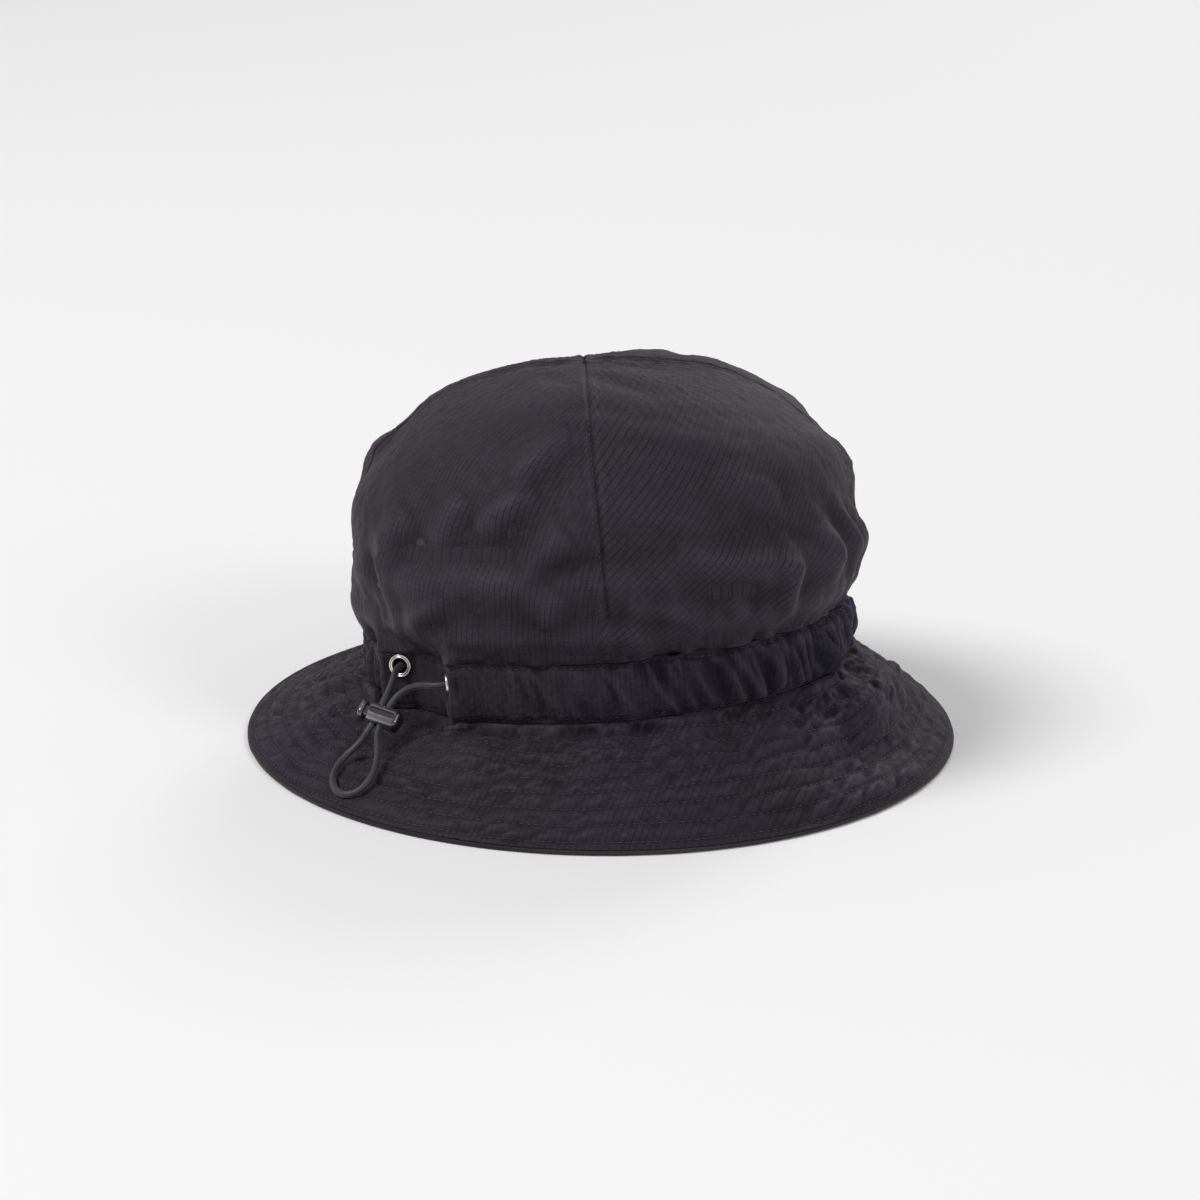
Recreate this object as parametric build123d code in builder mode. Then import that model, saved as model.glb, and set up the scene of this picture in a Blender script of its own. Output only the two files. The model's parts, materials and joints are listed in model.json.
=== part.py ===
from build123d import *
import os
from math import cos, pi, radians, sin, tan

# Bucket hat with a gathered drawcord tunnel, millimetres.
# It stands on its brim: front towards -Y, drawcord exit towards -X, floor at Z = 0.

# ---- Driving dimensions ------------------------------------------------------
# Tunnel between crown and brim: the head opening sits inside it
seat_half_width = 96.0
seat_half_length = 102.0
rake = 7.2  # degrees that the crown leans back
seat_centre = (4.0, -3.0, 28.3)
tunnel_height = 24.0
tunnel_wall = 1.0
tunnel_hem = 0.8
channel_depth = 3.4  # room for the cord behind the tunnel's wall

# Crown
crown_half_width = 103.5
crown_extra_length = 5.5  # the crown is this much longer than wide, each side
crown_bulge_height = 54.0
crown_top_height = 129.0
crown_roundness = 2.35  # exponent of the crown's side profile
crown_sections = 9
crown_first_turn = -20  # degrees along the side profile, where its first section above the seam would be
crown_last_turn = 86
dart_count = 4
dart_end_height = 42.0
dart_depth = 3.2
dart_share = 0.08  # a dart is never deeper than this share of the crown's half width there
crown_wall = 1.0
lining_wall = 0.6
lining_gap = 1.0

# Brim
rim_half_width = 147.0
rim_half_length = 150.0
brim_dome = 2.0  # how far the middle of the brim swells above a straight cone
brim_layers = (("brim_upper", 0.0, 1.5), ("brim_interlining", 1.6, 2.9), ("brim_lower", 3.0, 4.4))
binding_height = 2.4
binding_width = 5.0
binding_proud = 0.5  # how far the binding stands out of the brim
binding_edge = 0.45  # radius on the binding's edges

# Sweatband and label
sweatband_wall = 1.2
sweatband_height = 28.0
sweatband_gap = 0.2
label_width = 26.0
label_height = 15.0
label_thickness = 0.4
label_drop = 1.0  # from the sweatband's upper edge to the label's

# Eyelets and the folded tab that carries them
tab_thickness = 1.2
tab_gap = 0.1  # above and below the tab, inside the tunnel's hems
tab_fold_radius = 1.5
tab_lap_gap = 0.15  # between the tab's ends and the tunnel's wall
tab_ends = (155.2, 192.3)  # sides of the hat where the tab's ends lap over the tunnel
eyelet_hole = 6.2
eyelet_flange = 9.7
eyelet_barrel = 7.0
eyelet_flange_height = 0.9
eyelet_flare = 8.2
eyelet_flare_height = 0.5
eyelet_groove_share = 0.55  # where the groove between the two beads lies, from hole to rim
eyelet_rim_share = 0.3  # height of the rim's edge and of the outer bead, as shares of the flange's height
eyelet_bead_share = 0.85
washer_diameter = 9.5
washer_thickness = 0.5
barrel_clearance = 0.05
# side of the hat, how far it stands out of the tunnel, which way it faces, height in the tunnel
rear_eyelet = (165.3, 1.0, 205.0, 18.0)
front_eyelet = (184.3, 3.4, 140.0, 15.0)

# Drawcord
cord_diameter = 2.7
cord_share_of_run = 0.45
cord_end_inset = 1.0  # the two stretches of the cord meet this far inside each eyelet
eyelet_leads = (4.6, 5.4)  # how far the cord runs straight out of the rear and the front eyelet
channel_leads = (4.1, 3.8)  # and straight in behind them
channel_cord_height = 12.0
channel_first_angle = 154.0
channel_last_angle = -166.5
channel_points = 44

# Cord lock: plunger along its own X, cord through along its own Y, outer face towards its own Z
lock_centre = (-111.5, 13.7, 29.2)
lock_across = (-0.410, 0.884, 0.226)
lock_outward = (-0.520, -0.430, 0.738)
barrel_end = -9.2
barrel_mouth = 4.2
barrel_size = (8.5, 8.4)
barrel_corner = 2.9
barrel_floor = 1.1
barrel_recess = (11.0, 2.6, 0.6)  # length, width and depth of the recess between the barrel's two bars
barrel_recess_centre = -1.4
plunger_size = (5.0, 5.2)
plunger_corner = 1.5
plunger_inner_end = -4.5
plunger_clearance = 0.1
plunger_travel = 2.2
head_start = 6.6
head_end = 8.8
head_size = (7.8, 7.4)
head_corner = 2.6
head_rounding = 1.2
cord_slot = (7.0, 3.5)
plunger_slot_length = 6.1  # without the travel
spring_coils = 3
spring_radius = 1.8
spring_wire = 0.4
spring_gap = 0.008  # between the spring and the two faces that it bears on

# ---- Frames ------------------------------------------------------------------
crown_frame = Plane(origin=seat_centre, x_dir=(1, 0, 0), z_dir=(0, sin(radians(rake)), cos(radians(rake))))
lock_frame = Plane(origin=lock_centre, x_dir=lock_across, z_dir=lock_outward)


def in_crown(x, y, z):
    """Point given in the crown's leaning frame."""
    return crown_frame.from_local_coords(Vector(x, y, z))


def seat_point(angle, proud=0.0):
    """Point on the tunnel's outside, in the crown's frame."""
    x = (seat_half_width + proud) * cos(radians(angle))
    y = (seat_half_length + proud) * sin(radians(angle))
    return Vector(x, y)


def export(part, name):
    """Label one piece and write its STEP file."""
    part.label = name
    export_step(part, f"parts/{name}.step")


os.makedirs("parts", exist_ok=True)


# ---- Crown -------------------------------------------------------------------
def crown_profile(inset):
    """Heights and half widths of the crown's side, moved inwards by inset."""
    rise = crown_top_height - crown_bulge_height - inset
    width = crown_half_width - inset
    seat_share = (seat_half_width - inset) / width
    drop = crown_bulge_height - tunnel_height
    lower = drop / (1 - seat_share**crown_roundness) ** (1 / crown_roundness)
    profile = [(tunnel_height, seat_half_width - inset)]
    for step in range(1, crown_sections + 1):
        span = crown_last_turn - crown_first_turn
        turn = radians(crown_first_turn + span * step / crown_sections)
        side = abs(sin(turn)) ** (2 / crown_roundness)
        reach = -lower if turn < 0 else rise
        height = crown_bulge_height + reach * side
        profile.append((height, width * cos(turn) ** (2 / crown_roundness)))
    return profile


def petal_marks(half_width, half_length, depth):
    """Corners at the darts, on the crown's diagonals, and the tops of the petals between them."""
    corners = []
    tops = []
    for k in range(dart_count):
        angle = radians(45 + 90 * k)
        corners.append(((half_width - depth) * cos(angle), (half_length - depth) * sin(angle)))
        angle = radians(90 + 90 * k)
        tops.append((half_width * cos(angle), half_length * sin(angle)))
    return corners, tops


def crown_solid(inset):
    """Closed dome through the crown's sections, moved inwards by inset."""
    with BuildPart() as dome:
        for height, half_width in crown_profile(inset):
            if height <= tunnel_height:
                extra = seat_half_length - seat_half_width
            else:
                extra = crown_extra_length * half_width / crown_half_width
            share = min(1.0, max(0.0, (height - dart_end_height) / dart_end_height))
            depth = min(dart_depth * share, dart_share * half_width)
            corners, tops = petal_marks(half_width, half_width + extra, depth)
            with BuildSketch(crown_frame.offset(height)):
                with BuildLine():
                    for k in range(dart_count):
                        ThreePointArc(corners[k], tops[k], corners[(k + 1) % dart_count])
                make_face()
        loft()
    return dome.part


crown_outside = crown_solid(0.0)
crown_inside = crown_solid(crown_wall)
with BuildPart() as crown_shell:
    add(crown_outside)
    add(crown_inside, mode=Mode.SUBTRACT)
export(crown_shell.part, "crown_shell")

lining_outside = crown_solid(crown_wall + lining_gap)
lining_inside = crown_solid(crown_wall + lining_gap + lining_wall)
with BuildPart() as crown_lining:
    add(lining_outside)
    add(lining_inside, mode=Mode.SUBTRACT)
export(crown_lining.part, "crown_lining")

# ---- Drawcord tunnel ---------------------------------------------------------
channel_inset = tunnel_wall + channel_depth
window_ends = (-20.2, 41.2)  # along Y: the tab closes this gap in the tunnel's wall


def oval_band(inset, depth, bottom, top):
    """Upright oval strip round the head, in the crown's frame."""
    with BuildPart() as band:
        with BuildSketch(crown_frame.offset(bottom)):
            Ellipse(seat_half_width - inset, seat_half_length - inset)
            Ellipse(seat_half_width - inset - depth, seat_half_length - inset - depth, mode=Mode.SUBTRACT)
        extrude(amount=top - bottom)
    return band.part


casing_wall = oval_band(0.0, tunnel_wall, 0.0, tunnel_height)
lower_hem = oval_band(0.0, channel_inset, 0.0, tunnel_hem)
upper_hem = oval_band(0.0, channel_inset, tunnel_height - tunnel_hem, tunnel_height)
with BuildPart() as drawcord_casing:
    add(casing_wall)
    with BuildSketch(crown_frame.offset(tunnel_hem)):
        with Locations((-seat_half_width, sum(window_ends) / 2)):
            Rectangle(0.5 * seat_half_width, window_ends[1] - window_ends[0])
    extrude(amount=tunnel_height - 2 * tunnel_hem, mode=Mode.SUBTRACT)
    add(lower_hem)
    add(upper_hem)
export(drawcord_casing.part, "drawcord_casing")

sweatband_inset = channel_inset + sweatband_gap
sweatband_strip = oval_band(sweatband_inset, sweatband_wall, 0.0, sweatband_height)
with BuildPart() as sweatband:
    add(sweatband_strip)
export(sweatband.part, "sweatband")

label_inset = sweatband_inset + sweatband_wall + sweatband_gap
label_top = sweatband_height - label_drop
label_strip = oval_band(label_inset, label_thickness, label_top - label_height, label_top)
with BuildPart() as care_label:
    add(label_strip)
    with BuildSketch(crown_frame):
        with Locations((0, seat_half_length)):
            Rectangle(label_width, 0.5 * seat_half_length)
    extrude(amount=2 * sweatband_height, mode=Mode.INTERSECT)
export(care_label.part, "care_label")


# ---- Brim --------------------------------------------------------------------
brim_middle = Plane(
    origin=(seat_centre[0] / 2, seat_centre[1] / 2, (seat_centre[2] + binding_height) / 2),
    x_dir=(1, 0, 0),
    z_dir=(0, sin(radians(rake / 2)), cos(radians(rake / 2))),
)


def brim_solid(inset):
    """Cone from the tunnel's seam down to the edge binding, with a slight swell."""
    middle_half_width = (seat_half_width + rim_half_width) / 2 + brim_dome
    middle_half_length = (seat_half_length + rim_half_length) / 2 + brim_dome
    with BuildPart() as cone:
        with BuildSketch(crown_frame):
            Ellipse(seat_half_width - inset, seat_half_length - inset)
        with BuildSketch(brim_middle):
            Ellipse(middle_half_width - inset, middle_half_length - inset)
        with BuildSketch(Plane.XY.offset(binding_height)):
            Ellipse(rim_half_width - inset, rim_half_length - inset)
        loft()
    return cone.part


for layer_name, outside, inside in brim_layers:
    layer_outside = brim_solid(outside)
    layer_inside = brim_solid(inside)
    with BuildPart() as brim_layer:
        add(layer_outside)
        add(layer_inside, mode=Mode.SUBTRACT)
    export(brim_layer.part, layer_name)

binding_half_width = rim_half_width + binding_proud
binding_half_length = rim_half_length + binding_proud
with BuildPart() as brim_edge_binding:
    with BuildSketch():
        Ellipse(binding_half_width, binding_half_length)
        Ellipse(binding_half_width - binding_width, binding_half_length - binding_width, mode=Mode.SUBTRACT)
    extrude(amount=binding_height)
    outer_edges = brim_edge_binding.edges().sort_by(SortBy.LENGTH)[-2:]
    fillet(outer_edges, radius=binding_edge)
export(brim_edge_binding.part, "brim_edge_binding")


# ---- Eyelets and their tab -----------------------------------------------------
def eyelet_plane(spot):
    """Plane on the tab's outer face, at the eyelet's centre, facing outwards."""
    angle, proud, faces, height = spot
    centre = seat_point(angle, proud)
    outward = crown_frame.x_dir * cos(radians(faces)) + crown_frame.y_dir * sin(radians(faces))
    return Plane(origin=in_crown(centre.X, centre.Y, height), x_dir=crown_frame.z_dir, z_dir=outward)


def tab_mark(spot, along):
    """Point on the tab's middle line, this far along it from an eyelet's centre."""
    angle, proud, faces, height = spot
    centre = seat_point(angle, proud)
    back = Vector(cos(radians(faces)), sin(radians(faces))) * (-tab_thickness / 2)
    run = Vector(cos(radians(faces + 90)), sin(radians(faces + 90))) * -along
    return centre + back + run


rear_plane = eyelet_plane(rear_eyelet)
front_plane = eyelet_plane(front_eyelet)
tab_lap = tab_thickness / 2 + tab_lap_gap
tab_route = [
    seat_point(tab_ends[0], tab_lap),
    tab_mark(rear_eyelet, 9.0),
    tab_mark(rear_eyelet, -7.0),
    tab_mark(front_eyelet, 6.8),
    tab_mark(front_eyelet, -6.6),
    seat_point(tab_ends[1], tab_lap),
]

with BuildPart() as cord_exit_tab:
    with BuildSketch(crown_frame.offset(tunnel_hem + tab_gap)):
        with BuildLine() as tab_line:
            FilletPolyline(*tab_route, radius=tab_fold_radius)
        trace(line_width=tab_thickness)
    extrude(amount=tunnel_height - 2 * tunnel_hem - 2 * tab_gap)
    for plane in (rear_plane, front_plane):
        with BuildSketch(plane):
            Circle(eyelet_barrel / 2 + barrel_clearance)
        extrude(amount=-3 * tab_thickness, mode=Mode.SUBTRACT)
        with BuildSketch(plane):
            Circle(eyelet_barrel / 2 + barrel_clearance)
        extrude(amount=2 * tab_thickness, mode=Mode.SUBTRACT)
export(cord_exit_tab.part, "cord_exit_tab")


# Half section of a rolled eyelet: two beads, the barrel and its flared end
hole = eyelet_hole / 2
flange = eyelet_flange / 2
barrel = eyelet_barrel / 2
flare = eyelet_flare / 2
washer_back = -tab_thickness - washer_thickness
flare_end = washer_back - eyelet_flare_height
crest = eyelet_flange_height
groove = hole + eyelet_groove_share * (flange - hole)
rim = crest * eyelet_rim_share
bead = crest * eyelet_bead_share

for eyelet_name, washer_name, plane in (
    ("eyelet_rear", "washer_rear", rear_plane),
    ("eyelet_front", "washer_front", front_plane),
):
    section = Plane(origin=plane.origin, x_dir=plane.x_dir, z_dir=-plane.y_dir)
    with BuildPart() as eyelet:
        with BuildSketch(section):
            with BuildLine():
                Polyline((hole, crest / 2), (hole, flare_end), (flare, flare_end), (flare, washer_back))
                Polyline((flare, washer_back), (barrel, washer_back), (barrel, 0), (flange, 0))
                Line((flange, 0), (flange, rim))
                ThreePointArc((flange, rim), ((flange + groove) / 2, bead), (groove, crest / 2))
                ThreePointArc((groove, crest / 2), ((hole + groove) / 2, crest), (hole, crest / 2))
            make_face()
        revolve(axis=Axis(plane.origin, plane.z_dir))
    export(eyelet.part, eyelet_name)

    with BuildPart() as washer:
        with BuildSketch(plane.offset(-tab_thickness - washer_thickness)):
            Circle(washer_diameter / 2)
            Circle(eyelet_barrel / 2 + barrel_clearance, mode=Mode.SUBTRACT)
        extrude(amount=washer_thickness)
    export(washer.part, washer_name)


# ---- Drawcord ----------------------------------------------------------------
def corner_radii(points):
    """Largest arc that each corner's two runs allow, by the cord's share of a run."""
    radii = []
    for before, here, after in zip(points, points[1:], points[2:]):
        first = here - before
        second = after - here
        turn = first.get_angle(second)
        tangent = cord_share_of_run * min(first.length, second.length)
        radii.append(tangent / tan(radians(turn) / 2))
    return radii


def cord_tube(points, name):
    """Round tube along straight runs joined by tangent arcs; prints its radii and volume."""
    radii = corner_radii(points)
    print(name, "corner radii:", " ".join(f"{r:.1f}" for r in radii))
    with BuildPart() as tube:
        with BuildLine() as route:
            FilletPolyline(*points, radius=radii)
        with BuildSketch(Plane(origin=points[0], z_dir=points[1] - points[0])):
            Circle(cord_diameter / 2)
        sweep(path=route.wire())
    length = route.wire().length
    ratio = tube.part.volume / (length * pi * cord_diameter**2 / 4)
    print(f"{name}: length {length:.1f}, volume over section times length {ratio:.4f}")
    export(tube.part, name)


def on_axis(plane, distance):
    """Point on an eyelet's axis, outwards when positive."""
    return plane.origin + plane.z_dir * distance


loop_points = [
    on_axis(rear_plane, -cord_end_inset),
    on_axis(rear_plane, eyelet_leads[0]),
    Vector(-99.2, 19.3, 39.4),
    Vector(-106.1, 16.5, 34.6),
    Vector(-116.9, 13.8, 25.5),
    Vector(-120.6, 15.6, 19.6),
    Vector(-127.6, 18.4, 14.2),
    Vector(-135.8, 15.4, 10.4),
    Vector(-141.8, 8.4, 7.6),
    Vector(-143.2, 0.2, 6.9),
    Vector(-138.9, -5.4, 9.4),
    Vector(-130.0, -4.0, 15.2),
    Vector(-122.0, 3.2, 20.0),
    Vector(-115.7, 11.2, 24.8),
    Vector(-104.9, 13.9, 34.0),
    Vector(-99.8, 11.0, 38.6),
    Vector(-98.7, 2.6, 42.2),
    on_axis(front_plane, eyelet_leads[1]),
    on_axis(front_plane, -cord_end_inset),
]
cord_tube(loop_points, "drawcord_loop")


def channel_route():
    """From the rear eyelet round the head inside the tunnel to the front eyelet."""
    middle = tunnel_wall + channel_depth / 2
    points = [on_axis(rear_plane, -cord_end_inset), on_axis(rear_plane, -channel_leads[0])]
    points.append(in_crown(-88.6, 33.0, 15.0))
    for k in range(channel_points + 1):
        angle = channel_first_angle + (channel_last_angle - channel_first_angle) * k / channel_points
        spot = seat_point(angle, -middle)
        points.append(in_crown(spot.X, spot.Y, channel_cord_height))
    points.append(in_crown(-92.4, -15.5, 13.4))
    points.append(on_axis(front_plane, -channel_leads[1]))
    points.append(on_axis(front_plane, -cord_end_inset))
    return points


cord_tube(channel_route(), "drawcord_channel")


# ---- Cord lock ---------------------------------------------------------------
def lock_section(at):
    """Plane across the plunger's axis: its own X along the cord, its own Y outwards."""
    origin = lock_frame.origin + lock_frame.x_dir * at
    return Plane(origin=origin, x_dir=lock_frame.y_dir, z_dir=lock_frame.x_dir)


def slot_plane(at):
    """Plane across the cord's two strands, this far along the plunger's axis."""
    origin = lock_frame.origin + lock_frame.x_dir * at
    return Plane(origin=origin, x_dir=lock_frame.x_dir, z_dir=-lock_frame.y_dir)


with BuildPart() as lock_barrel:
    with BuildSketch(lock_section(barrel_end)):
        RectangleRounded(*barrel_size, barrel_corner)
    extrude(amount=barrel_mouth - barrel_end)
    closed_end = lock_barrel.faces().sort_by(Axis(lock_frame.origin, lock_frame.x_dir))[0]
    fillet(closed_end.edges(), radius=0.9 * barrel_corner)
    # long recess between two rounded bars, on the outer and the inner face
    for side in (1, -1):
        face = lock_frame.offset(side * barrel_size[1] / 2)
        with BuildSketch(face):
            with Locations((barrel_recess_centre, 0)):
                SlotOverall(barrel_recess[0], barrel_recess[1])
        extrude(amount=-side * barrel_recess[2], mode=Mode.SUBTRACT)
    with BuildSketch(lock_section(barrel_end + barrel_floor)):
        RectangleRounded(
            plunger_size[0] + 2 * plunger_clearance, plunger_size[1] + 2 * plunger_clearance, plunger_corner
        )
    extrude(amount=barrel_mouth - barrel_end, mode=Mode.SUBTRACT)
    with BuildSketch(slot_plane(0.0)):
        SlotOverall(*cord_slot)
    extrude(amount=barrel_size[0], both=True, mode=Mode.SUBTRACT)
export(lock_barrel.part, "lock_barrel")

with BuildPart() as lock_plunger:
    with BuildSketch(lock_section(plunger_inner_end)):
        RectangleRounded(*plunger_size, plunger_corner)
    extrude(amount=head_start - plunger_inner_end)
    with BuildSketch(lock_section(head_start)):
        RectangleRounded(*head_size, head_corner)
    extrude(amount=head_end - head_start)
    press_face = lock_plunger.faces().sort_by(Axis(lock_frame.origin, lock_frame.x_dir))[-1]
    fillet(press_face.edges(), radius=head_rounding)
    # slot open towards the head by the travel, so that pressing frees the cord
    with BuildSketch(slot_plane(plunger_travel / 2)):
        SlotOverall(plunger_slot_length + plunger_travel, cord_slot[1])
    extrude(amount=plunger_size[0], both=True, mode=Mode.SUBTRACT)
export(lock_plunger.part, "lock_plunger")

spring_length = plunger_inner_end - barrel_end - barrel_floor
spring_base = lock_section(barrel_end + barrel_floor + spring_wire / 2)
with BuildPart() as lock_spring:
    with BuildLine():
        coil = Helix(
            pitch=(spring_length - spring_wire) / spring_coils,
            height=spring_length - spring_wire,
            radius=spring_radius,
            center=spring_base.origin,
            direction=spring_base.z_dir,
        )
    with BuildSketch(Plane(origin=coil @ 0, z_dir=coil % 0)):
        Circle(spring_wire / 2 - spring_gap)
    sweep(path=coil, is_frenet=True)
export(lock_spring.part, "lock_spring")
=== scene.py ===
import json
from math import cos, pi, radians, sin, sqrt

import bmesh
import bpy
import numpy as np
from mathutils import Matrix, Vector


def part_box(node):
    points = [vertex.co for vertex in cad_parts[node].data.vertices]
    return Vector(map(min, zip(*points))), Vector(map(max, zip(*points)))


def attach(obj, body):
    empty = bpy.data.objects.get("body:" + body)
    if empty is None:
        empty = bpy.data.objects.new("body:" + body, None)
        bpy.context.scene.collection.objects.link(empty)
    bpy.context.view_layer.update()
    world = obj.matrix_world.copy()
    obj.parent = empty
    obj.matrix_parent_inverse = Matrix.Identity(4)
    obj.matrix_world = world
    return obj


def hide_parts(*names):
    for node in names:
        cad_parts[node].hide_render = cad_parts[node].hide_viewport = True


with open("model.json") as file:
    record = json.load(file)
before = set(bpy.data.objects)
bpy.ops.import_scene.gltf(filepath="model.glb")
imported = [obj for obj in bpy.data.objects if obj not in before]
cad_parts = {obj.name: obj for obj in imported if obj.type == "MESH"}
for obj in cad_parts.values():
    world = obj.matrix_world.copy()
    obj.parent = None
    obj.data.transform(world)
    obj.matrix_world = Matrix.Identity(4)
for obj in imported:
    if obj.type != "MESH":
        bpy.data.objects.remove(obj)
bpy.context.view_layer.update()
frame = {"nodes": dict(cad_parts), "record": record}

bl_info = {
    "name": "Drawcord Bucket Hat",
    "version": (1, 0, 0),
    "blender": (4, 5, 0),
    "location": "View3D > Sidebar > Hat",
    "description": "Cloth, cord and finishes of a bucket hat with a gathered drawcord tunnel",
    "category": "Object",
}

MM = 0.001


# ---- Sizes and colours ---------------------------------------------------------
def length_property(name, description, default):
    """Length property of the hat."""
    return bpy.props.FloatProperty(name=name, description=description, default=default, unit="LENGTH")


class HatSizes(bpy.types.PropertyGroup):
    rake: bpy.props.FloatProperty(
        name="Rake", description="Angle that the crown leans back", default=radians(7.2), subtype="ANGLE")
    tunnel_height: length_property("Tunnel height", "Height of the drawcord tunnel", 24 * MM)
    crown_half_width: length_property("Crown half width", "Half width at the crown's widest", 103.5 * MM)
    bulge_height: length_property("Bulge height", "Height of the widest part over the brim seam", 54 * MM)
    crown_height: length_property("Crown height", "Height of the crown's top over the brim seam", 129 * MM)
    roundness: bpy.props.FloatProperty(
        name="Roundness", description="Exponent of the crown's side profile", default=2.35, min=1.5, max=4)
    dart_end: length_property("Dart end", "Height over the brim seam where the darts end", 42 * MM)
    cloth: length_property("Cloth thickness", "Thickness of the outer cloth with its backing", 0.7 * MM)
    stitch_rows: bpy.props.IntProperty(
        name="Brim rows", description="Rows of stitching round the brim", default=7, min=1, max=12)
    stitch_pitch: length_property("Stitch pitch", "Length of one stitch and its gap", 3.0 * MM)
    thread: length_property("Thread", "Thickness of the sewing thread", 0.38 * MM)
    cord: length_property("Cord diameter", "Diameter of the elastic cord", 2.7 * MM)


def colour_property(name, description, default):
    """Colour property of the hat."""
    return bpy.props.FloatVectorProperty(name=name, description=description, default=default, size=3,
                                         min=0, max=1, subtype="COLOR")


class HatColours(bpy.types.PropertyGroup):
    cloth: colour_property("Cloth", "Colour of the ripstop cloth", (0.0215, 0.0155, 0.0240))
    lining: colour_property("Lining", "Colour of the lining", (0.030, 0.028, 0.034))
    thread: colour_property("Thread", "Colour of the sewing thread", (0.022, 0.020, 0.025))
    cord: colour_property("Cord", "Colour of the elastic cord", (0.026, 0.026, 0.030))
    metal: colour_property("Eyelets", "Colour of the plated eyelets", (0.80, 0.78, 0.75))
    lock: colour_property("Cord lock", "Colour of the cord lock", (0.075, 0.068, 0.075))
    floor: colour_property("Floor", "Colour of the studio floor", (0.92, 0.92, 0.92))


def sizes():
    return bpy.context.scene.hat_sizes


def colours():
    return bpy.context.scene.hat_colours


# ---- Places from the frame -------------------------------------------------------
def mount_place(name):
    """Place of one of the record's mounts."""
    for mount in frame["record"]["mounts"]:
        if mount["name"] == name:
            return np.array(mount["pos_m"])
    raise RuntimeError(f"the record has no mount called {name}")


def box_centre(node):
    low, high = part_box(node)
    return (np.array(low) + np.array(high)) / 2


SEAT = mount_place("head_opening")
SEAT_X = (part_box("drawcord_casing")[1][0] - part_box("drawcord_casing")[0][0]) / 2
SEAT_Y = SEAT_X + 6 * MM
RIM_X = (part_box("brim_upper")[1][0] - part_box("brim_upper")[0][0]) / 2
RIM_Y = (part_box("brim_upper")[1][1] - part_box("brim_upper")[0][1]) / 2
RIM_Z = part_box("brim_upper")[0][2]
FINE = 1800
RIPSTOP = 2.3 * MM
REAR_FACES = radians(205)
FRONT_FACES = radians(140)


def lean(points):
    """From the crown's leaning frame to the hat's frame."""
    rake = sizes().rake
    points = np.asarray(points, float)
    x = points[..., 0] + SEAT[0]
    y = points[..., 1] * cos(rake) + points[..., 2] * sin(rake) + SEAT[1]
    z = -points[..., 1] * sin(rake) + points[..., 2] * cos(rake) + SEAT[2]
    return np.stack([x, y, z], -1)


def unlean(point):
    """From the hat's frame to the crown's leaning frame."""
    rake = sizes().rake
    x, y, z = np.asarray(point, float) - SEAT
    return np.array([x, y * cos(rake) - z * sin(rake), y * sin(rake) + z * cos(rake)])


# ---- Small numeric helpers ---------------------------------------------------------
def smooth_step(x, low, high):
    t = np.clip((x - low) / (high - low), 0, 1)
    return t * t * (3 - 2 * t)


def blur_round(values, width):
    """Gaussian blur along a closed line, width in samples."""
    reach = int(3 * width) + 1
    offsets = np.arange(-reach, reach + 1)
    weights = np.exp(-0.5 * (offsets / width) ** 2)
    weights /= weights.sum()
    result = np.zeros_like(values)
    for offset, weight in zip(offsets, weights):
        result += weight * np.roll(values, offset, axis=0)
    return result


def lattice_noise(u, v, cells_u, cells_v, seed):
    """Smooth noise of about -1 to 1 over u and v from 0 to 1, closed along u."""
    rng = np.random.default_rng(seed)
    grid = rng.normal(0, 0.6, (cells_u, cells_v + 3))
    x = u * cells_u
    y = v * cells_v
    xi = np.floor(x).astype(int)
    yi = np.floor(y).astype(int)
    fx = x - xi
    fy = y - yi
    fx = fx * fx * (3 - 2 * fx)
    fy = fy * fy * (3 - 2 * fy)
    yi = np.clip(yi, 0, cells_v + 1)
    a = grid[xi % cells_u, yi]
    b = grid[(xi + 1) % cells_u, yi]
    c = grid[xi % cells_u, yi + 1]
    d = grid[(xi + 1) % cells_u, yi + 1]
    return (a * (1 - fx) + b * fx) * (1 - fy) + (c * (1 - fx) + d * fx) * fy


def grid_normals(grid):
    """Unit normals of a grid of points, rows upwards and columns anticlockwise."""
    across = np.roll(grid, -1, axis=1) - np.roll(grid, 1, axis=1)
    along = np.gradient(grid, axis=0)
    normal = np.cross(across, along)
    return normal / np.maximum(np.linalg.norm(normal, axis=-1, keepdims=True), 1e-12)


def resample_rows(grid, rows):
    """Grid with a new number of rows, by cubic interpolation."""
    old = grid.shape[0]
    t = np.linspace(0, old - 1, rows)
    i = np.clip(np.floor(t).astype(int), 0, old - 2)
    f = (t - i)[:, None, None]
    p0 = grid[np.clip(i - 1, 0, old - 1)]
    p1 = grid[i]
    p2 = grid[i + 1]
    p3 = grid[np.clip(i + 2, 0, old - 1)]
    return p1 + 0.5 * f * (p2 - p0 + f * (2 * p0 - 5 * p1 + 4 * p2 - p3 + f * (3 * (p1 - p2) + p3 - p0)))


def resample_columns(grid, columns):
    """Closed grid with a new number of columns, by cubic interpolation."""
    turned = np.swapaxes(grid, 0, 1)
    padded = np.concatenate([turned[-2:], turned, turned[:3]])
    old = grid.shape[1]
    t = np.linspace(0, old, columns, endpoint=False) + 2
    i = np.floor(t).astype(int)
    f = (t - i)[:, None, None]
    p0, p1, p2, p3 = (padded[i + k] for k in (-1, 0, 1, 2))
    new = p1 + 0.5 * f * (p2 - p0 + f * (2 * p0 - 5 * p1 + 4 * p2 - p3 + f * (3 * (p1 - p2) + p3 - p0)))
    return np.swapaxes(new, 0, 1)


def convexity(grid, reach):
    """How far each point stands above its surroundings, in millimetres."""
    normal = grid_normals(grid)
    around = np.zeros_like(grid)
    for step in (-reach, reach):
        around += np.roll(grid, step, axis=1) / 4
        rows = np.clip(np.arange(grid.shape[0]) + step, 0, grid.shape[0] - 1)
        around += grid[rows] / 4
    return np.sum((grid - around) * normal, axis=-1) / MM


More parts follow.
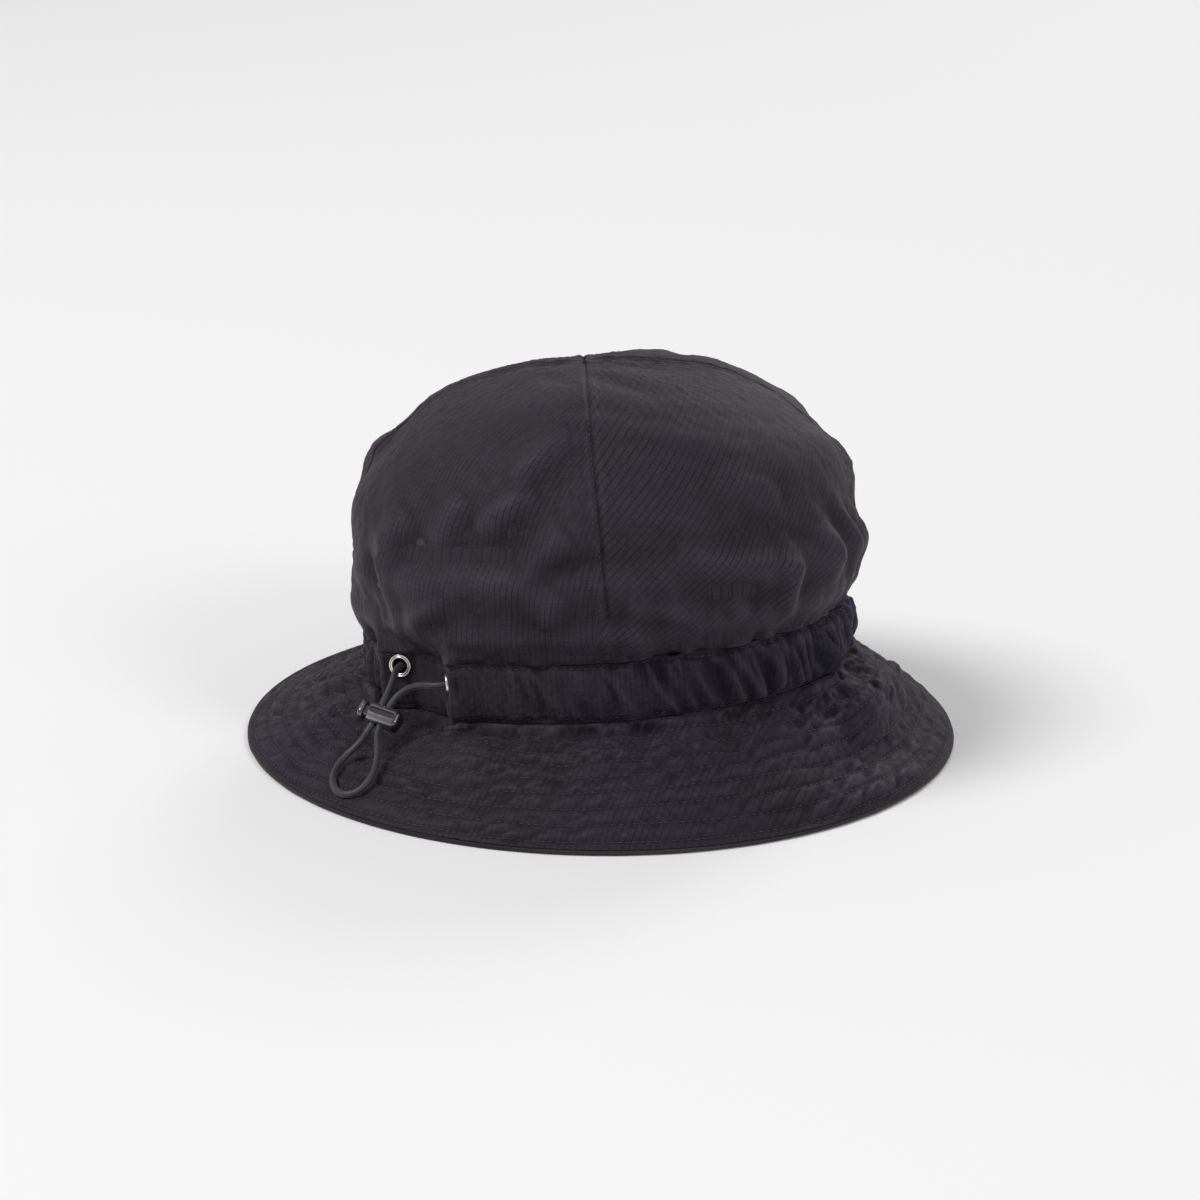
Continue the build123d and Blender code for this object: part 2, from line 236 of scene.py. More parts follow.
# ---- Shapes of the hat ---------------------------------------------------------------
def tunnel_plan():
    """Closed plan line of the tunnel's outside, with the folds that carry the eyelets."""
    rear = unlean(box_centre("washer_rear"))[:2]
    front = unlean(box_centre("washer_front"))[:2]
    to_face = 1.45 * MM

    def mark(centre, faces, along):
        outward = np.array([cos(faces), sin(faces)])
        run = np.array([-sin(faces), cos(faces)]) * -along * MM
        return centre + outward * to_face + run

    def oval(angle):
        return np.array([SEAT_X * cos(angle), SEAT_Y * sin(angle)])

    start, end = radians(192.3), radians(155.2)
    folds = [oval(end), mark(rear, REAR_FACES, 9.0), mark(rear, REAR_FACES, -7.0),
             mark(front, FRONT_FACES, 6.8), mark(front, FRONT_FACES, -6.6), oval(start)]
    line = [oval(a) for a in np.linspace(start - 2 * pi, end, 700)][:-1]
    for a, b in zip(folds, folds[1:]):
        steps = max(2, int(np.linalg.norm(b - a) / (0.9 * MM)))
        line += [a + (b - a) * k / steps for k in range(steps)]
    line = np.array(line)
    closed = np.concatenate([line, line[:1]])
    lengths = np.concatenate([[0], np.cumsum(np.linalg.norm(np.diff(closed, axis=0), axis=1))])
    spots = np.linspace(0, lengths[-1], FINE, endpoint=False)
    even = np.stack([np.interp(spots, lengths, closed[:, k]) for k in range(2)], -1)
    return blur_round(even, 3.2)


def crown_side(inset=0.0, rows=101):
    """Heights and half widths of the crown's side from the seam to the top, evenly spaced."""
    s = sizes()
    width = s.crown_half_width - inset
    rise = s.crown_height - s.bulge_height - inset
    share = (SEAT_X - inset) / width
    drop = s.bulge_height - s.tunnel_height
    lower = drop / (1 - share**s.roundness) ** (1 / s.roundness)
    first = -np.arcsin((drop / lower) ** (s.roundness / 2))
    turn = np.linspace(first, pi / 2, 800)
    power = 2 / s.roundness
    reach = np.where(turn < 0, -lower, rise)
    height = s.bulge_height + reach * np.abs(np.sin(turn)) ** power
    half = width * np.abs(np.cos(turn)) ** power
    half[-1] = 0
    lengths = np.concatenate([[0], np.cumsum(np.hypot(np.diff(height), np.diff(half)))])
    spots = np.linspace(0, lengths[-1], rows)
    return np.interp(spots, lengths, height), np.interp(spots, lengths, half), lengths[-1]


def dart_distance(angle, half):
    """Distance along the cloth to the nearest dart, positive on one side."""
    quarter = pi / 2
    offset = (angle - pi / 4 + quarter / 2) % quarter - quarter / 2
    return offset * half


def column_angles(plan):
    """Angle of each column on the folded plan, and evened out with columns closer at the darts."""
    angle = np.unwrap(np.arctan2(plan[:, 1] / SEAT_Y, plan[:, 0] / SEAT_X))
    step = 2 * pi / len(plan)
    even = np.arange(len(plan)) * step
    shift = np.mean(angle - even)
    shift = round((shift - pi / 4) / step) * step + pi / 4
    even = even + shift
    return angle, even, even - 0.09 * np.sin(4 * (even - pi / 4))


def crown_grid(plan, rows, inset=0.0, darts=True):
    """Smooth crown from the seam up, in the crown's frame; the last row is the top."""
    s = sizes()
    height, half, _ = crown_side(inset, rows)
    angle, _, closer = column_angles(plan)
    climb = np.linspace(0, 1, rows)[:, None]
    ease = smooth_step(climb, 0.0, 0.2)
    theta = angle[None] * (1 - ease) + closer[None] * ease
    extra = (5.5 * MM) * half / s.crown_half_width
    x = half[:, None] * np.cos(theta)
    y = (half + extra)[:, None] * np.sin(theta)
    if darts:
        away = np.abs(dart_distance(theta, half[:, None]))
        strength = smooth_step(height, s.dart_end - 6 * MM, s.dart_end + 30 * MM)[:, None]
        dip = 2.8 * MM * np.exp(-away / (22 * MM)) * strength
        factor = 1 - np.minimum(dip / np.maximum(half[:, None], 6 * MM), 0.1)
        x, y = x * factor, y * factor
    z = np.repeat(height[:, None], len(plan), axis=1)
    fold = 1 - smooth_step(climb, 0.0, 0.08)
    shrink = 1 - inset / SEAT_X
    x = x * (1 - fold) + plan[None, :, 0] * shrink * fold
    y = y * (1 - fold) + plan[None, :, 1] * shrink * fold
    return np.stack([x, y, z], -1), theta


def brim_grid(plan, rows, inset=0.0):
    """Smooth brim from the seam down to the rim, in the hat's frame."""
    top = lean(np.concatenate([plan * (1 - inset / SEAT_X), np.zeros((len(plan), 1))], 1))
    _, even, _ = column_angles(plan)
    oval = np.stack([(SEAT_X - inset) * np.cos(even), (SEAT_Y - inset) * np.sin(even)], -1)
    clean = lean(np.concatenate([oval, np.zeros((len(plan), 1))], 1))
    rim = np.stack([(RIM_X - inset) * np.cos(even), (RIM_Y - inset) * np.sin(even),
                    np.full(len(plan), RIM_Z)], -1)
    t = np.linspace(0, 1, rows)[:, None, None]
    fold = 1 - smooth_step(t, 0.0, 0.4)
    start = top[None] * fold + clean[None] * (1 - fold)
    grid = start + (rim[None] - start) * t
    grid[..., 2] += 2.0 * MM * np.sin(pi * t[..., 0])
    return grid, even


def tunnel_grid(plan, rows):
    """Smooth tunnel wall from the brim seam up to the crown seam, in the crown's frame."""
    s = sizes()
    heights = np.linspace(0, s.tunnel_height, rows)
    grid = np.zeros((rows, len(plan), 3))
    grid[..., :2] = plan[None]
    grid[..., 2] = heights[:, None]
    return grid


# ---- Cloth simulation ------------------------------------------------------------------
def settle(start, cut, pins, frames, pressure, bending, seed, cap, gravity=0.0):
    """Let gathered cloth buckle: start is where it is, cut how large it was cut, pins what is sewn down."""
    rows, columns = start.shape[:2]
    rng = np.random.default_rng(seed)
    push = rng.normal(0, 0.12 * MM, (rows, columns, 1)) * (1 - pins[..., None])
    seeded = start + grid_normals(start) * push
    corner = np.arange(rows * columns).reshape(rows, columns)
    right = np.roll(corner, -1, axis=1)
    faces = np.stack([corner[:-1], right[:-1], right[1:], corner[1:]], -1).reshape(-1, 4)
    mesh = bpy.data.meshes.new("settle")
    mesh.from_pydata(seeded.reshape(-1, 3).tolist(), [], faces.tolist())
    cloth_object = bpy.data.objects.new("settle", mesh)
    bpy.context.scene.collection.objects.link(cloth_object)
    cloth_object.shape_key_add(name="placed")
    key = cloth_object.shape_key_add(name="cut")
    key.data.foreach_set("co", cut.reshape(-1).astype(np.float32))
    key.value = 0
    group = cloth_object.vertex_groups.new(name="sewn")
    flat = np.round(pins, 2).reshape(-1)
    for level in np.unique(flat[flat > 0]):
        group.add(np.nonzero(flat == level)[0].tolist(), float(level), "REPLACE")
    modifier = cloth_object.modifiers.new("Cloth", "CLOTH")
    cloth = modifier.settings
    cloth.quality = 7
    cloth.mass = 0.04
    cloth.tension_stiffness = 25
    cloth.compression_stiffness = 25
    cloth.shear_stiffness = 12
    cloth.bending_stiffness = bending
    cloth.tension_damping = 15
    cloth.compression_damping = 15
    cloth.shear_damping = 15
    cloth.air_damping = 2
    cloth.vertex_group_mass = "sewn"
    cloth.pin_stiffness = 1.0
    cloth.rest_shape_key = key
    cloth.use_pressure = pressure > 0
    cloth.uniform_pressure_force = pressure
    cloth.effector_weights.gravity = gravity
    modifier.collision_settings.use_collision = False
    modifier.point_cache.frame_start = 1
    modifier.point_cache.frame_end = frames
    scene = bpy.context.scene
    for number in range(1, frames + 1):
        scene.frame_set(number)
    evaluated = cloth_object.evaluated_get(bpy.context.evaluated_depsgraph_get())
    result = np.zeros(rows * columns * 3, np.float32)
    evaluated.data.vertices.foreach_get("co", result)
    scene.frame_set(1)
    bpy.data.objects.remove(cloth_object)
    bpy.data.meshes.remove(mesh)
    moved = result.reshape(rows, columns, 3).astype(float) - start
    length = np.linalg.norm(moved, axis=-1, keepdims=True)
    return start + moved * np.minimum(1, cap / np.maximum(length, 1e-9))


# ---- Building meshes ---------------------------------------------------------------------
def grid_object(name, grid, material, loop=False, poles=(), uv=None, marks=None, drop=None):
    """Mesh object from a grid of points that closes along its rows."""
    rows, columns = grid.shape[:2]
    corner = np.arange(rows * columns).reshape(rows, columns)
    upper = np.roll(corner, -1, axis=0) if loop else corner[1:]
    lower = corner if loop else corner[:-1]
    quads = np.stack([lower, np.roll(lower, -1, axis=1), np.roll(upper, -1, axis=1), upper], -1)
    kept = np.ones(quads.shape[:2], bool)
    if drop is not None:
        kept &= ~drop[:kept.shape[0]]
    mesh = bpy.data.meshes.new(name)
    mesh.from_pydata(grid.reshape(-1, 3).tolist(), [], quads[kept].reshape(-1, 4).tolist())
    if uv is not None:
        u, v = uv
        last = quads.shape[0]
        tops = [np.roll(a, -1, axis=0)[:last] if loop else a[1:] for a in (u, v)]
        sets = []
        for low, high in ((u[:last], tops[0]), (v[:last], tops[1])):
            sets.append(np.stack([low[:, :-1], low[:, 1:], high[:, 1:], high[:, :-1]], -1))
        layer = mesh.uv_layers.new(name="cloth_uv")
        layer.data.foreach_set("uv", np.stack(sets, -1)[kept].reshape(-1).astype(np.float32))
    for label, values in (marks or {}).items():
        attribute = mesh.attributes.new(label, "FLOAT", "POINT")
        attribute.data.foreach_set("value", values.reshape(-1).astype(np.float32))
    if poles:
        shape = bmesh.new()
        shape.from_mesh(mesh)
        shape.verts.ensure_lookup_table()
        rings = [(row, [shape.verts[k] for k in corner[row]]) for row in poles]
        for row, ring in rings:
            bmesh.ops.pointmerge(shape, verts=ring, merge_co=Vector(grid[row].mean(0)))
        shape.to_mesh(mesh)
        shape.free()
    return finish_mesh(name, mesh, material)


def finish_mesh(name, mesh, material):
    mesh.polygons.foreach_set("use_smooth", [True] * len(mesh.polygons))
    mesh.materials.clear()
    mesh.materials.append(material)
    mesh.update()
    piece = bpy.data.objects.new(name, mesh)
    bpy.context.scene.collection.objects.link(piece)
    return piece


def run_lengths(grid, axis):
    """Running length along a grid's rows (axis 0) or closed columns (axis 1), with one more column."""
    closed = np.concatenate([grid, grid[:, :1]], axis=1)
    step = np.linalg.norm(np.diff(closed, axis=axis), axis=-1)
    lengths = np.cumsum(step, axis=axis)
    start = np.zeros_like(lengths[:1]) if axis == 0 else np.zeros_like(lengths[:, :1])
    return np.concatenate([start, lengths], axis=axis)


def widened(values):
    return np.concatenate([values, values[:, :1]], axis=1)


def thicken(piece, thickness, offset=-1):
    """Give a sheet its walls."""
    walls = piece.modifiers.new("Walls", "SOLIDIFY")
    walls.thickness = thickness
    walls.offset = offset


def place(piece, body):
    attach(piece, body)
    return piece


def bumped(grid, lift):
    """Grid lifted along its normals by so many metres."""
    return grid + grid_normals(grid) * lift[..., None]


PLAN = None


# ---- Stitches ------------------------------------------------------------------------------
def stitch_tree():
    """Geometry nodes: a row of short rounded stitches along a line."""
    tree = bpy.data.node_groups.get("stitch_row")
    if tree:
        return tree
    tree = bpy.data.node_groups.new("stitch_row", "GeometryNodeTree")
    face = tree.interface
    face.new_socket("Geometry", in_out="INPUT", socket_type="NodeSocketGeometry")
    for label, value in (("Pitch", 3 * MM), ("Stitch length", 2.3 * MM), ("Thread", 0.4 * MM)):
        socket = face.new_socket(label, in_out="INPUT", socket_type="NodeSocketFloat")
        socket.default_value = value
    face.new_socket("Material", in_out="INPUT", socket_type="NodeSocketMaterial")
    face.new_socket("Geometry", in_out="OUTPUT", socket_type="NodeSocketGeometry")
    nodes, links = tree.nodes, tree.links
    given = nodes.new("NodeGroupInput")
    result = nodes.new("NodeGroupOutput")
    line = nodes.new("GeometryNodeMeshToCurve")
    spots = nodes.new("GeometryNodeCurveToPoints")
    spots.mode = "LENGTH"
    turn = nodes.new("FunctionNodeAlignRotationToVector")
    turn.axis = "Z"
    bead = nodes.new("GeometryNodeMeshUVSphere")
    bead.inputs["Segments"].default_value = 6
    bead.inputs["Rings"].default_value = 4
    bead.inputs["Radius"].default_value = 0.5
    size = nodes.new("ShaderNodeCombineXYZ")
    copies = nodes.new("GeometryNodeInstanceOnPoints")
    real = nodes.new("GeometryNodeRealizeInstances")
    smooth = nodes.new("GeometryNodeSetShadeSmooth")
    paint = nodes.new("GeometryNodeSetMaterial")
    links.new(given.outputs["Geometry"], line.inputs[0])
    links.new(line.outputs[0], spots.inputs["Curve"])
    links.new(given.outputs["Pitch"], spots.inputs["Length"])
    links.new(spots.outputs["Tangent"], turn.inputs["Vector"])
    links.new(given.outputs["Thread"], size.inputs["X"])
    links.new(given.outputs["Thread"], size.inputs["Y"])
    links.new(given.outputs["Stitch length"], size.inputs["Z"])
    links.new(spots.outputs["Points"], copies.inputs["Points"])
    links.new(bead.outputs["Mesh"], copies.inputs["Instance"])
    links.new(turn.outputs["Rotation"], copies.inputs["Rotation"])
    links.new(size.outputs["Vector"], copies.inputs["Scale"])
    links.new(copies.outputs["Instances"], real.inputs["Geometry"])
    links.new(real.outputs["Geometry"], smooth.inputs["Geometry"])
    links.new(smooth.outputs["Geometry"], paint.inputs["Geometry"])
    links.new(given.outputs["Material"], paint.inputs["Material"])
    links.new(paint.outputs["Geometry"], result.inputs["Geometry"])
    return tree


def stitches(name, lines, pitch, length, thread, material):
    """One mesh with the stitches of several lines of points; each line says whether it closes."""
    points, edges = [], []
    for line, closed in lines:
        first = len(points)
        points += np.asarray(line).tolist()
        edges += [(first + k, first + k + 1) for k in range(len(line) - 1)]
        if closed:
            edges.append((len(points) - 1, first))
    guide = bpy.data.meshes.new(name + "_line")
    guide.from_pydata(points, edges, [])
    carrier = bpy.data.objects.new(name + "_line", guide)
    bpy.context.scene.collection.objects.link(carrier)
    tree = stitch_tree()
    modifier = carrier.modifiers.new("Stitches", "NODES")
    modifier.node_group = tree
    values = {"Pitch": pitch, "Stitch length": length, "Thread": thread, "Material": material}
    for item in tree.interface.items_tree:
        if item.item_type == "SOCKET" and item.in_out == "INPUT" and item.name in values:
            modifier[item.identifier] = values[item.name]
    graph = bpy.context.evaluated_depsgraph_get()
    mesh = bpy.data.meshes.new_from_object(carrier.evaluated_get(graph), depsgraph=graph)
    mesh.name = name
    bpy.data.objects.remove(carrier)
    bpy.data.meshes.remove(guide)
    return finish_mesh(name, mesh, material)


# ---- Materials -------------------------------------------------------------------------------
def group_tree(name, inputs, outputs):
    tree = bpy.data.node_groups.new(name, "ShaderNodeTree")
    for label, kind, value in inputs:
        socket = tree.interface.new_socket(label, in_out="INPUT", socket_type=kind)
        if value is not None:
            socket.default_value = value
    for label, kind in outputs:
        tree.interface.new_socket(label, in_out="OUTPUT", socket_type=kind)
    return tree, tree.nodes.new("NodeGroupInput"), tree.nodes.new("NodeGroupOutput")


def joined(tree, kind, operation=None, **inputs):
    """New node with its inputs linked or set; names use _ for spaces, and n0, n1 for places."""
    node = tree.nodes.new(kind)
    if operation:
        node.operation = operation
    for label, value in inputs.items():
        key = int(label[1:]) if label[0] == "n" and label[1:].isdigit() else label.replace("_", " ")
        if isinstance(value, bpy.types.NodeSocket):
            tree.links.new(value, node.inputs[key])
        else:
            node.inputs[key].default_value = value
    return node


def maths(tree, operation, *values):
    return joined(tree, "ShaderNodeMath", operation, **{f"n{k}": v for k, v in enumerate(values)}).outputs[0]


def weave_group():
    """Ripstop weave: fine threads with thicker ones at every pitch, from cloth coordinates in metres."""
    tree = bpy.data.node_groups.get("ripstop_weave")
    if tree:
        return tree
    tree, given, result = group_tree(
        "ripstop_weave",
        [("Cloth", "NodeSocketVector", None), ("Pitch", "NodeSocketFloat", 2.3 * MM),
         ("Line", "NodeSocketFloat", 0.15), ("Thread pitch", "NodeSocketFloat", 0.33 * MM),
         ("Second way", "NodeSocketFloat", 0.5)],
        [("Lines", "NodeSocketFloat"), ("Threads", "NodeSocketFloat"), ("Height", "NodeSocketFloat")])
    parts = joined(tree, "ShaderNodeSeparateXYZ", n0=given.outputs["Cloth"])
    wander = joined(tree, "ShaderNodeTexNoise", Vector=given.outputs["Cloth"], Scale=260.0, Detail=1.0)
    sway = maths(tree, "MULTIPLY", maths(tree, "SUBTRACT", wander.outputs["Fac"], 0.5), 0.5 * MM)
    lines, threads = [], []
    for axis in ("X", "Y"):
        along = maths(tree, "ADD", parts.outputs[axis], sway)
        cell = maths(tree, "FRACT", maths(tree, "DIVIDE", along, given.outputs["Pitch"]))
        middle = maths(tree, "ABSOLUTE", maths(tree, "SUBTRACT", cell, 0.5))
        edge = maths(tree, "SUBTRACT", 1.0, maths(tree, "DIVIDE", middle, given.outputs["Line"]))
        lines.append(maths(tree, "MAXIMUM", edge, 0.0))
        turns = maths(tree, "MULTIPLY", maths(tree, "DIVIDE", along, given.outputs["Thread pitch"]), 2 * pi)
        threads.append(maths(tree, "SINE", turns))
    weak = maths(tree, "MULTIPLY", lines[1], given.outputs["Second way"])
    patchy = joined(tree, "ShaderNodeTexNoise", Vector=given.outputs["Cloth"], Scale=45.0, Detail=1.0)
    seen = maths(tree, "MULTIPLY", patchy.outputs["Fac"], 1.7)
    both = maths(tree, "MULTIPLY", maths(tree, "MAXIMUM", lines[0], weak), seen)
    fine = maths(tree, "MULTIPLY", threads[0], threads[1])
    height = maths(tree, "ADD", maths(tree, "MULTIPLY", both, 0.7), maths(tree, "MULTIPLY", fine, 0.3))
    tree.links.new(both, result.inputs["Lines"])
    tree.links.new(fine, result.inputs["Threads"])
    tree.links.new(height, result.inputs["Height"])
    return tree


def washed_and_painted_light_group():
    """Uneven dyed colour in soft clouds; ridges lighter from rubbed wear and painted sheen, and painted shade
    darkening the folds.
    """
    tree = bpy.data.node_groups.get("washed_colour")
    if tree:
        return tree
    tree, given, result = group_tree(
        "washed_colour",
        [("Place", "NodeSocketVector", None), ("Colour", "NodeSocketColor", (0.05, 0.05, 0.05, 1)),
         ("Tint", "NodeSocketColor", (0.04, 0.04, 0.06, 1)), ("Ridge", "NodeSocketFloat", 0.0),
         ("Rubbing", "NodeSocketFloat", 0.5), ("Lines", "NodeSocketFloat", 0.0),
         ("Line depth", "NodeSocketFloat", 0.4)],
        [("Colour", "NodeSocketColor"), ("Roughness", "NodeSocketFloat")])
    clouds = joined(tree, "ShaderNodeTexNoise", Vector=given.outputs["Place"], Scale=14.0, Detail=3.0)
    patches = joined(tree, "ShaderNodeTexNoise", Vector=given.outputs["Place"], Scale=5.0, Detail=2.0)
    grain = joined(tree, "ShaderNodeTexNoise", Vector=given.outputs["Place"], Scale=900.0, Detail=2.0)
    mix = joined(tree, "ShaderNodeMix")
    mix.data_type = "RGBA"
    tint = joined(tree, "ShaderNodeMapRange", Value=patches.outputs["Fac"])
    tint.inputs["From Min"].default_value = 0.42
    tint.inputs["From Max"].default_value = 0.68
    tree.links.new(tint.outputs[0], mix.inputs[0])
    tree.links.new(given.outputs["Colour"], mix.inputs[6])
    tree.links.new(given.outputs["Tint"], mix.inputs[7])
    # painted light: the ridge value lightens convex ridges (rubbed wear with a painted sheen) and darkens
    # hollow folds (painted shade)
    rub_and_painted_light = maths(tree, "MULTIPLY", given.outputs["Ridge"], given.outputs["Rubbing"])
    rub_and_painted_light = maths(tree, "MINIMUM", maths(tree, "MAXIMUM", rub_and_painted_light, -0.35), 0.5)
    cloud = maths(tree, "MULTIPLY", maths(tree, "SUBTRACT", clouds.outputs["Fac"], 0.5), 0.5)
    speck = maths(tree, "MULTIPLY", maths(tree, "SUBTRACT", grain.outputs["Fac"], 0.5), 0.35)
    dark = maths(tree, "MULTIPLY", given.outputs["Lines"], given.outputs["Line depth"])
    value = maths(tree, "ADD", maths(tree, "ADD", 1.0, rub_and_painted_light), maths(tree, "ADD", cloud, speck))
    value = maths(tree, "MULTIPLY", value, maths(tree, "SUBTRACT", 1.0, dark))
    shade = joined(tree, "ShaderNodeHueSaturation", Color=mix.outputs[2], Value=value)
    rough = maths(tree, "SUBTRACT", 0.68, maths(tree, "MULTIPLY", rub_and_painted_light, 0.18))
    tree.links.new(shade.outputs[0], result.inputs["Colour"])
    tree.links.new(rough, result.inputs["Roughness"])
    return tree


def wrinkle_group():
    """Small creases and slubs as a height."""
    tree = bpy.data.node_groups.get("fine_creases")
    if tree:
        return tree
    tree, given, result = group_tree(
        "fine_creases",
        [("Place", "NodeSocketVector", None), ("Size", "NodeSocketFloat", 70.0)],
        [("Height", "NodeSocketFloat")])
    bent = joined(tree, "ShaderNodeTexNoise", Vector=given.outputs["Place"], Scale=given.outputs["Size"],
                  Detail=3.0, Distortion=1.2)
    folded = maths(tree, "ABSOLUTE", maths(tree, "SUBTRACT", bent.outputs["Fac"], 0.5))
    tree.links.new(maths(tree, "SUBTRACT", 0.5, folded), result.inputs["Height"])
    return tree


def start_material(name):
    material = bpy.data.materials.new(name)
    material.use_nodes = True
    tree = material.node_tree
    tree.nodes.clear()
    end = tree.nodes.new("ShaderNodeOutputMaterial")
    shader = tree.nodes.new("ShaderNodeBsdfPrincipled")
    tree.links.new(shader.outputs[0], end.inputs["Surface"])
    return material, tree, shader


def placed_group(tree, group, **inputs):
    node = tree.nodes.new("ShaderNodeGroup")
    node.node_tree = group
    for label, value in inputs.items():
        key = label.replace("_", " ")
        if isinstance(value, bpy.types.NodeSocket):
            tree.links.new(value, node.inputs[key])
        else:
            node.inputs[key].default_value = value
    return node


def cloth_material(name, colour, tint, pitch, lines, rubbing_and_painted_light, second=0.5, sheen=0.1, rough_shift=0.0):
    """Woven cloth that follows the piece's own cloth coordinates."""
    material, tree, shader = start_material(name)
    cloth = tree.nodes.new("ShaderNodeUVMap")
    cloth.uv_map = "cloth_uv"
    place_at = tree.nodes.new("ShaderNodeTexCoord").outputs["Object"]
    ridge = tree.nodes.new("ShaderNodeAttribute")
    ridge.attribute_name = "ridge"
    weave = placed_group(tree, weave_group(), Cloth=cloth.outputs[0], Pitch=pitch, Second_way=second)
    # the ridge attribute adds rubbed wear and a painted sheen on the cloth's ridges, and painted shade in its
    # folds
    washed_and_painted_light = placed_group(tree, washed_and_painted_light_group(), Place=place_at, Colour=(*colour, 1), Tint=(*tint, 1),
                          Ridge=ridge.outputs["Fac"], Rubbing=rubbing_and_painted_light, Lines=weave.outputs["Lines"],
                          Line_depth=lines)
    creases = placed_group(tree, wrinkle_group(), Place=place_at)
    coarse = joined(tree, "ShaderNodeBump", Height=creases.outputs[0], Strength=0.3, Distance=0.6 * MM)
    fine = joined(tree, "ShaderNodeBump", Height=weave.outputs["Height"], Strength=0.5, Distance=0.09 * MM,
                  Normal=coarse.outputs[0])
    tree.links.new(washed_and_painted_light.outputs["Colour"], shader.inputs["Base Color"])
    tree.links.new(maths(tree, "ADD", washed_and_painted_light.outputs["Roughness"], rough_shift), shader.inputs["Roughness"])
    tree.links.new(fine.outputs[0], shader.inputs["Normal"])
    shader.inputs["Specular IOR Level"].default_value = 0.24
    shader.inputs["Sheen Weight"].default_value = sheen
    shader.inputs["Sheen Roughness"].default_value = 0.45
    shader.inputs["Sheen Tint"].default_value = (0.75, 0.68, 0.72, 1)
    return material


def thread_material(name, colour):
    """Twisted sewing thread."""
    material, tree, shader = start_material(name)
    place_at = tree.nodes.new("ShaderNodeTexCoord").outputs["Object"]
    twist = joined(tree, "ShaderNodeTexNoise", Vector=place_at, Scale=2600.0, Detail=2.0)
    value = maths(tree, "ADD", 0.7, maths(tree, "MULTIPLY", twist.outputs["Fac"], 0.6))
    shade = joined(tree, "ShaderNodeHueSaturation", Color=(*colour, 1), Value=value)
    bump = joined(tree, "ShaderNodeBump", Height=twist.outputs["Fac"], Strength=0.6, Distance=0.08 * MM)
    tree.links.new(shade.outputs[0], shader.inputs["Base Color"])
    tree.links.new(bump.outputs[0], shader.inputs["Normal"])
    shader.inputs["Roughness"].default_value = 0.5
    shader.inputs["Sheen Weight"].default_value = 0.2
    return material


def cord_material(name, colour):
    """Braided elastic cord: its strands are in the mesh; its fibres, with painted highlights on the strands'
    crowns and painted shade between them, here.
    """
    material, tree, shader = start_material(name)
    cloth = tree.nodes.new("ShaderNodeUVMap")
    cloth.uv_map = "cloth_uv"
    ridge = tree.nodes.new("ShaderNodeAttribute")
    ridge.attribute_name = "ridge"
    fibres = joined(tree, "ShaderNodeTexNoise", Vector=cloth.outputs[0], Scale=3200.0, Detail=2.0)
    # painted light: the strands' crowns lighter and the gaps between strands darker
    painted_crown_light = maths(tree, "MULTIPLY", ridge.outputs["Fac"], 0.55)
    fibre = maths(tree, "MULTIPLY", fibres.outputs["Fac"], 0.5)
    value = maths(tree, "ADD", maths(tree, "ADD", 0.5, painted_crown_light), fibre)
    shade = joined(tree, "ShaderNodeHueSaturation", Color=(*colour, 1), Value=value)
    bump = joined(tree, "ShaderNodeBump", Height=fibres.outputs["Fac"], Strength=0.5, Distance=0.06 * MM)
    tree.links.new(shade.outputs[0], shader.inputs["Base Color"])
    tree.links.new(bump.outputs[0], shader.inputs["Normal"])
    shader.inputs["Roughness"].default_value = 0.48
    shader.inputs["Sheen Weight"].default_value = 0.3
    shader.inputs["Sheen Roughness"].default_value = 0.4
    return material


def metal_material(name, colour, rough, worn, metallic=1.0, coat=0.0):
    """Plated metal with fine scratches, smudges and worn edges."""
    material, tree, shader = start_material(name)
    place_at = tree.nodes.new("ShaderNodeTexCoord").outputs["Object"]
    smudge = joined(tree, "ShaderNodeTexNoise", Vector=place_at, Scale=420.0, Detail=3.0)
    stretch = tree.nodes.new("ShaderNodeMapping")
    stretch.inputs["Scale"].default_value = (900, 900, 5200)
    tree.links.new(place_at, stretch.inputs[0])
    brushed = joined(tree, "ShaderNodeTexNoise", Vector=stretch.outputs[0], Scale=1.0, Detail=2.0)
    geometry = tree.nodes.new("ShaderNodeNewGeometry")
    edge = joined(tree, "ShaderNodeMapRange", Value=geometry.outputs["Pointiness"])
    edge.inputs["From Min"].default_value = 0.5
    edge.inputs["From Max"].default_value = 0.62
    mix = tree.nodes.new("ShaderNodeMix")
    mix.data_type = "RGBA"
    tree.links.new(maths(tree, "MULTIPLY", edge.outputs[0], 0.6), mix.inputs[0])
    mix.inputs[6].default_value = (*colour, 1)
    mix.inputs[7].default_value = (*worn, 1)
    value = maths(tree, "ADD", 0.85, maths(tree, "MULTIPLY", smudge.outputs["Fac"], 0.3))
    shade = joined(tree, "ShaderNodeHueSaturation", Color=mix.outputs[2], Value=value)
    rough_map = maths(tree, "ADD", rough - 0.07, maths(tree, "MULTIPLY", smudge.outputs["Fac"], 0.16))
    bump = joined(tree, "ShaderNodeBump", Height=brushed.outputs["Fac"], Strength=0.12, Distance=0.03 * MM)
    tree.links.new(shade.outputs[0], shader.inputs["Base Color"])
    tree.links.new(rough_map, shader.inputs["Roughness"])
    tree.links.new(bump.outputs[0], shader.inputs["Normal"])
    shader.inputs["Metallic"].default_value = metallic
    shader.inputs["Coat Weight"].default_value = coat
    shader.inputs["Coat Roughness"].default_value = 0.12
    return material


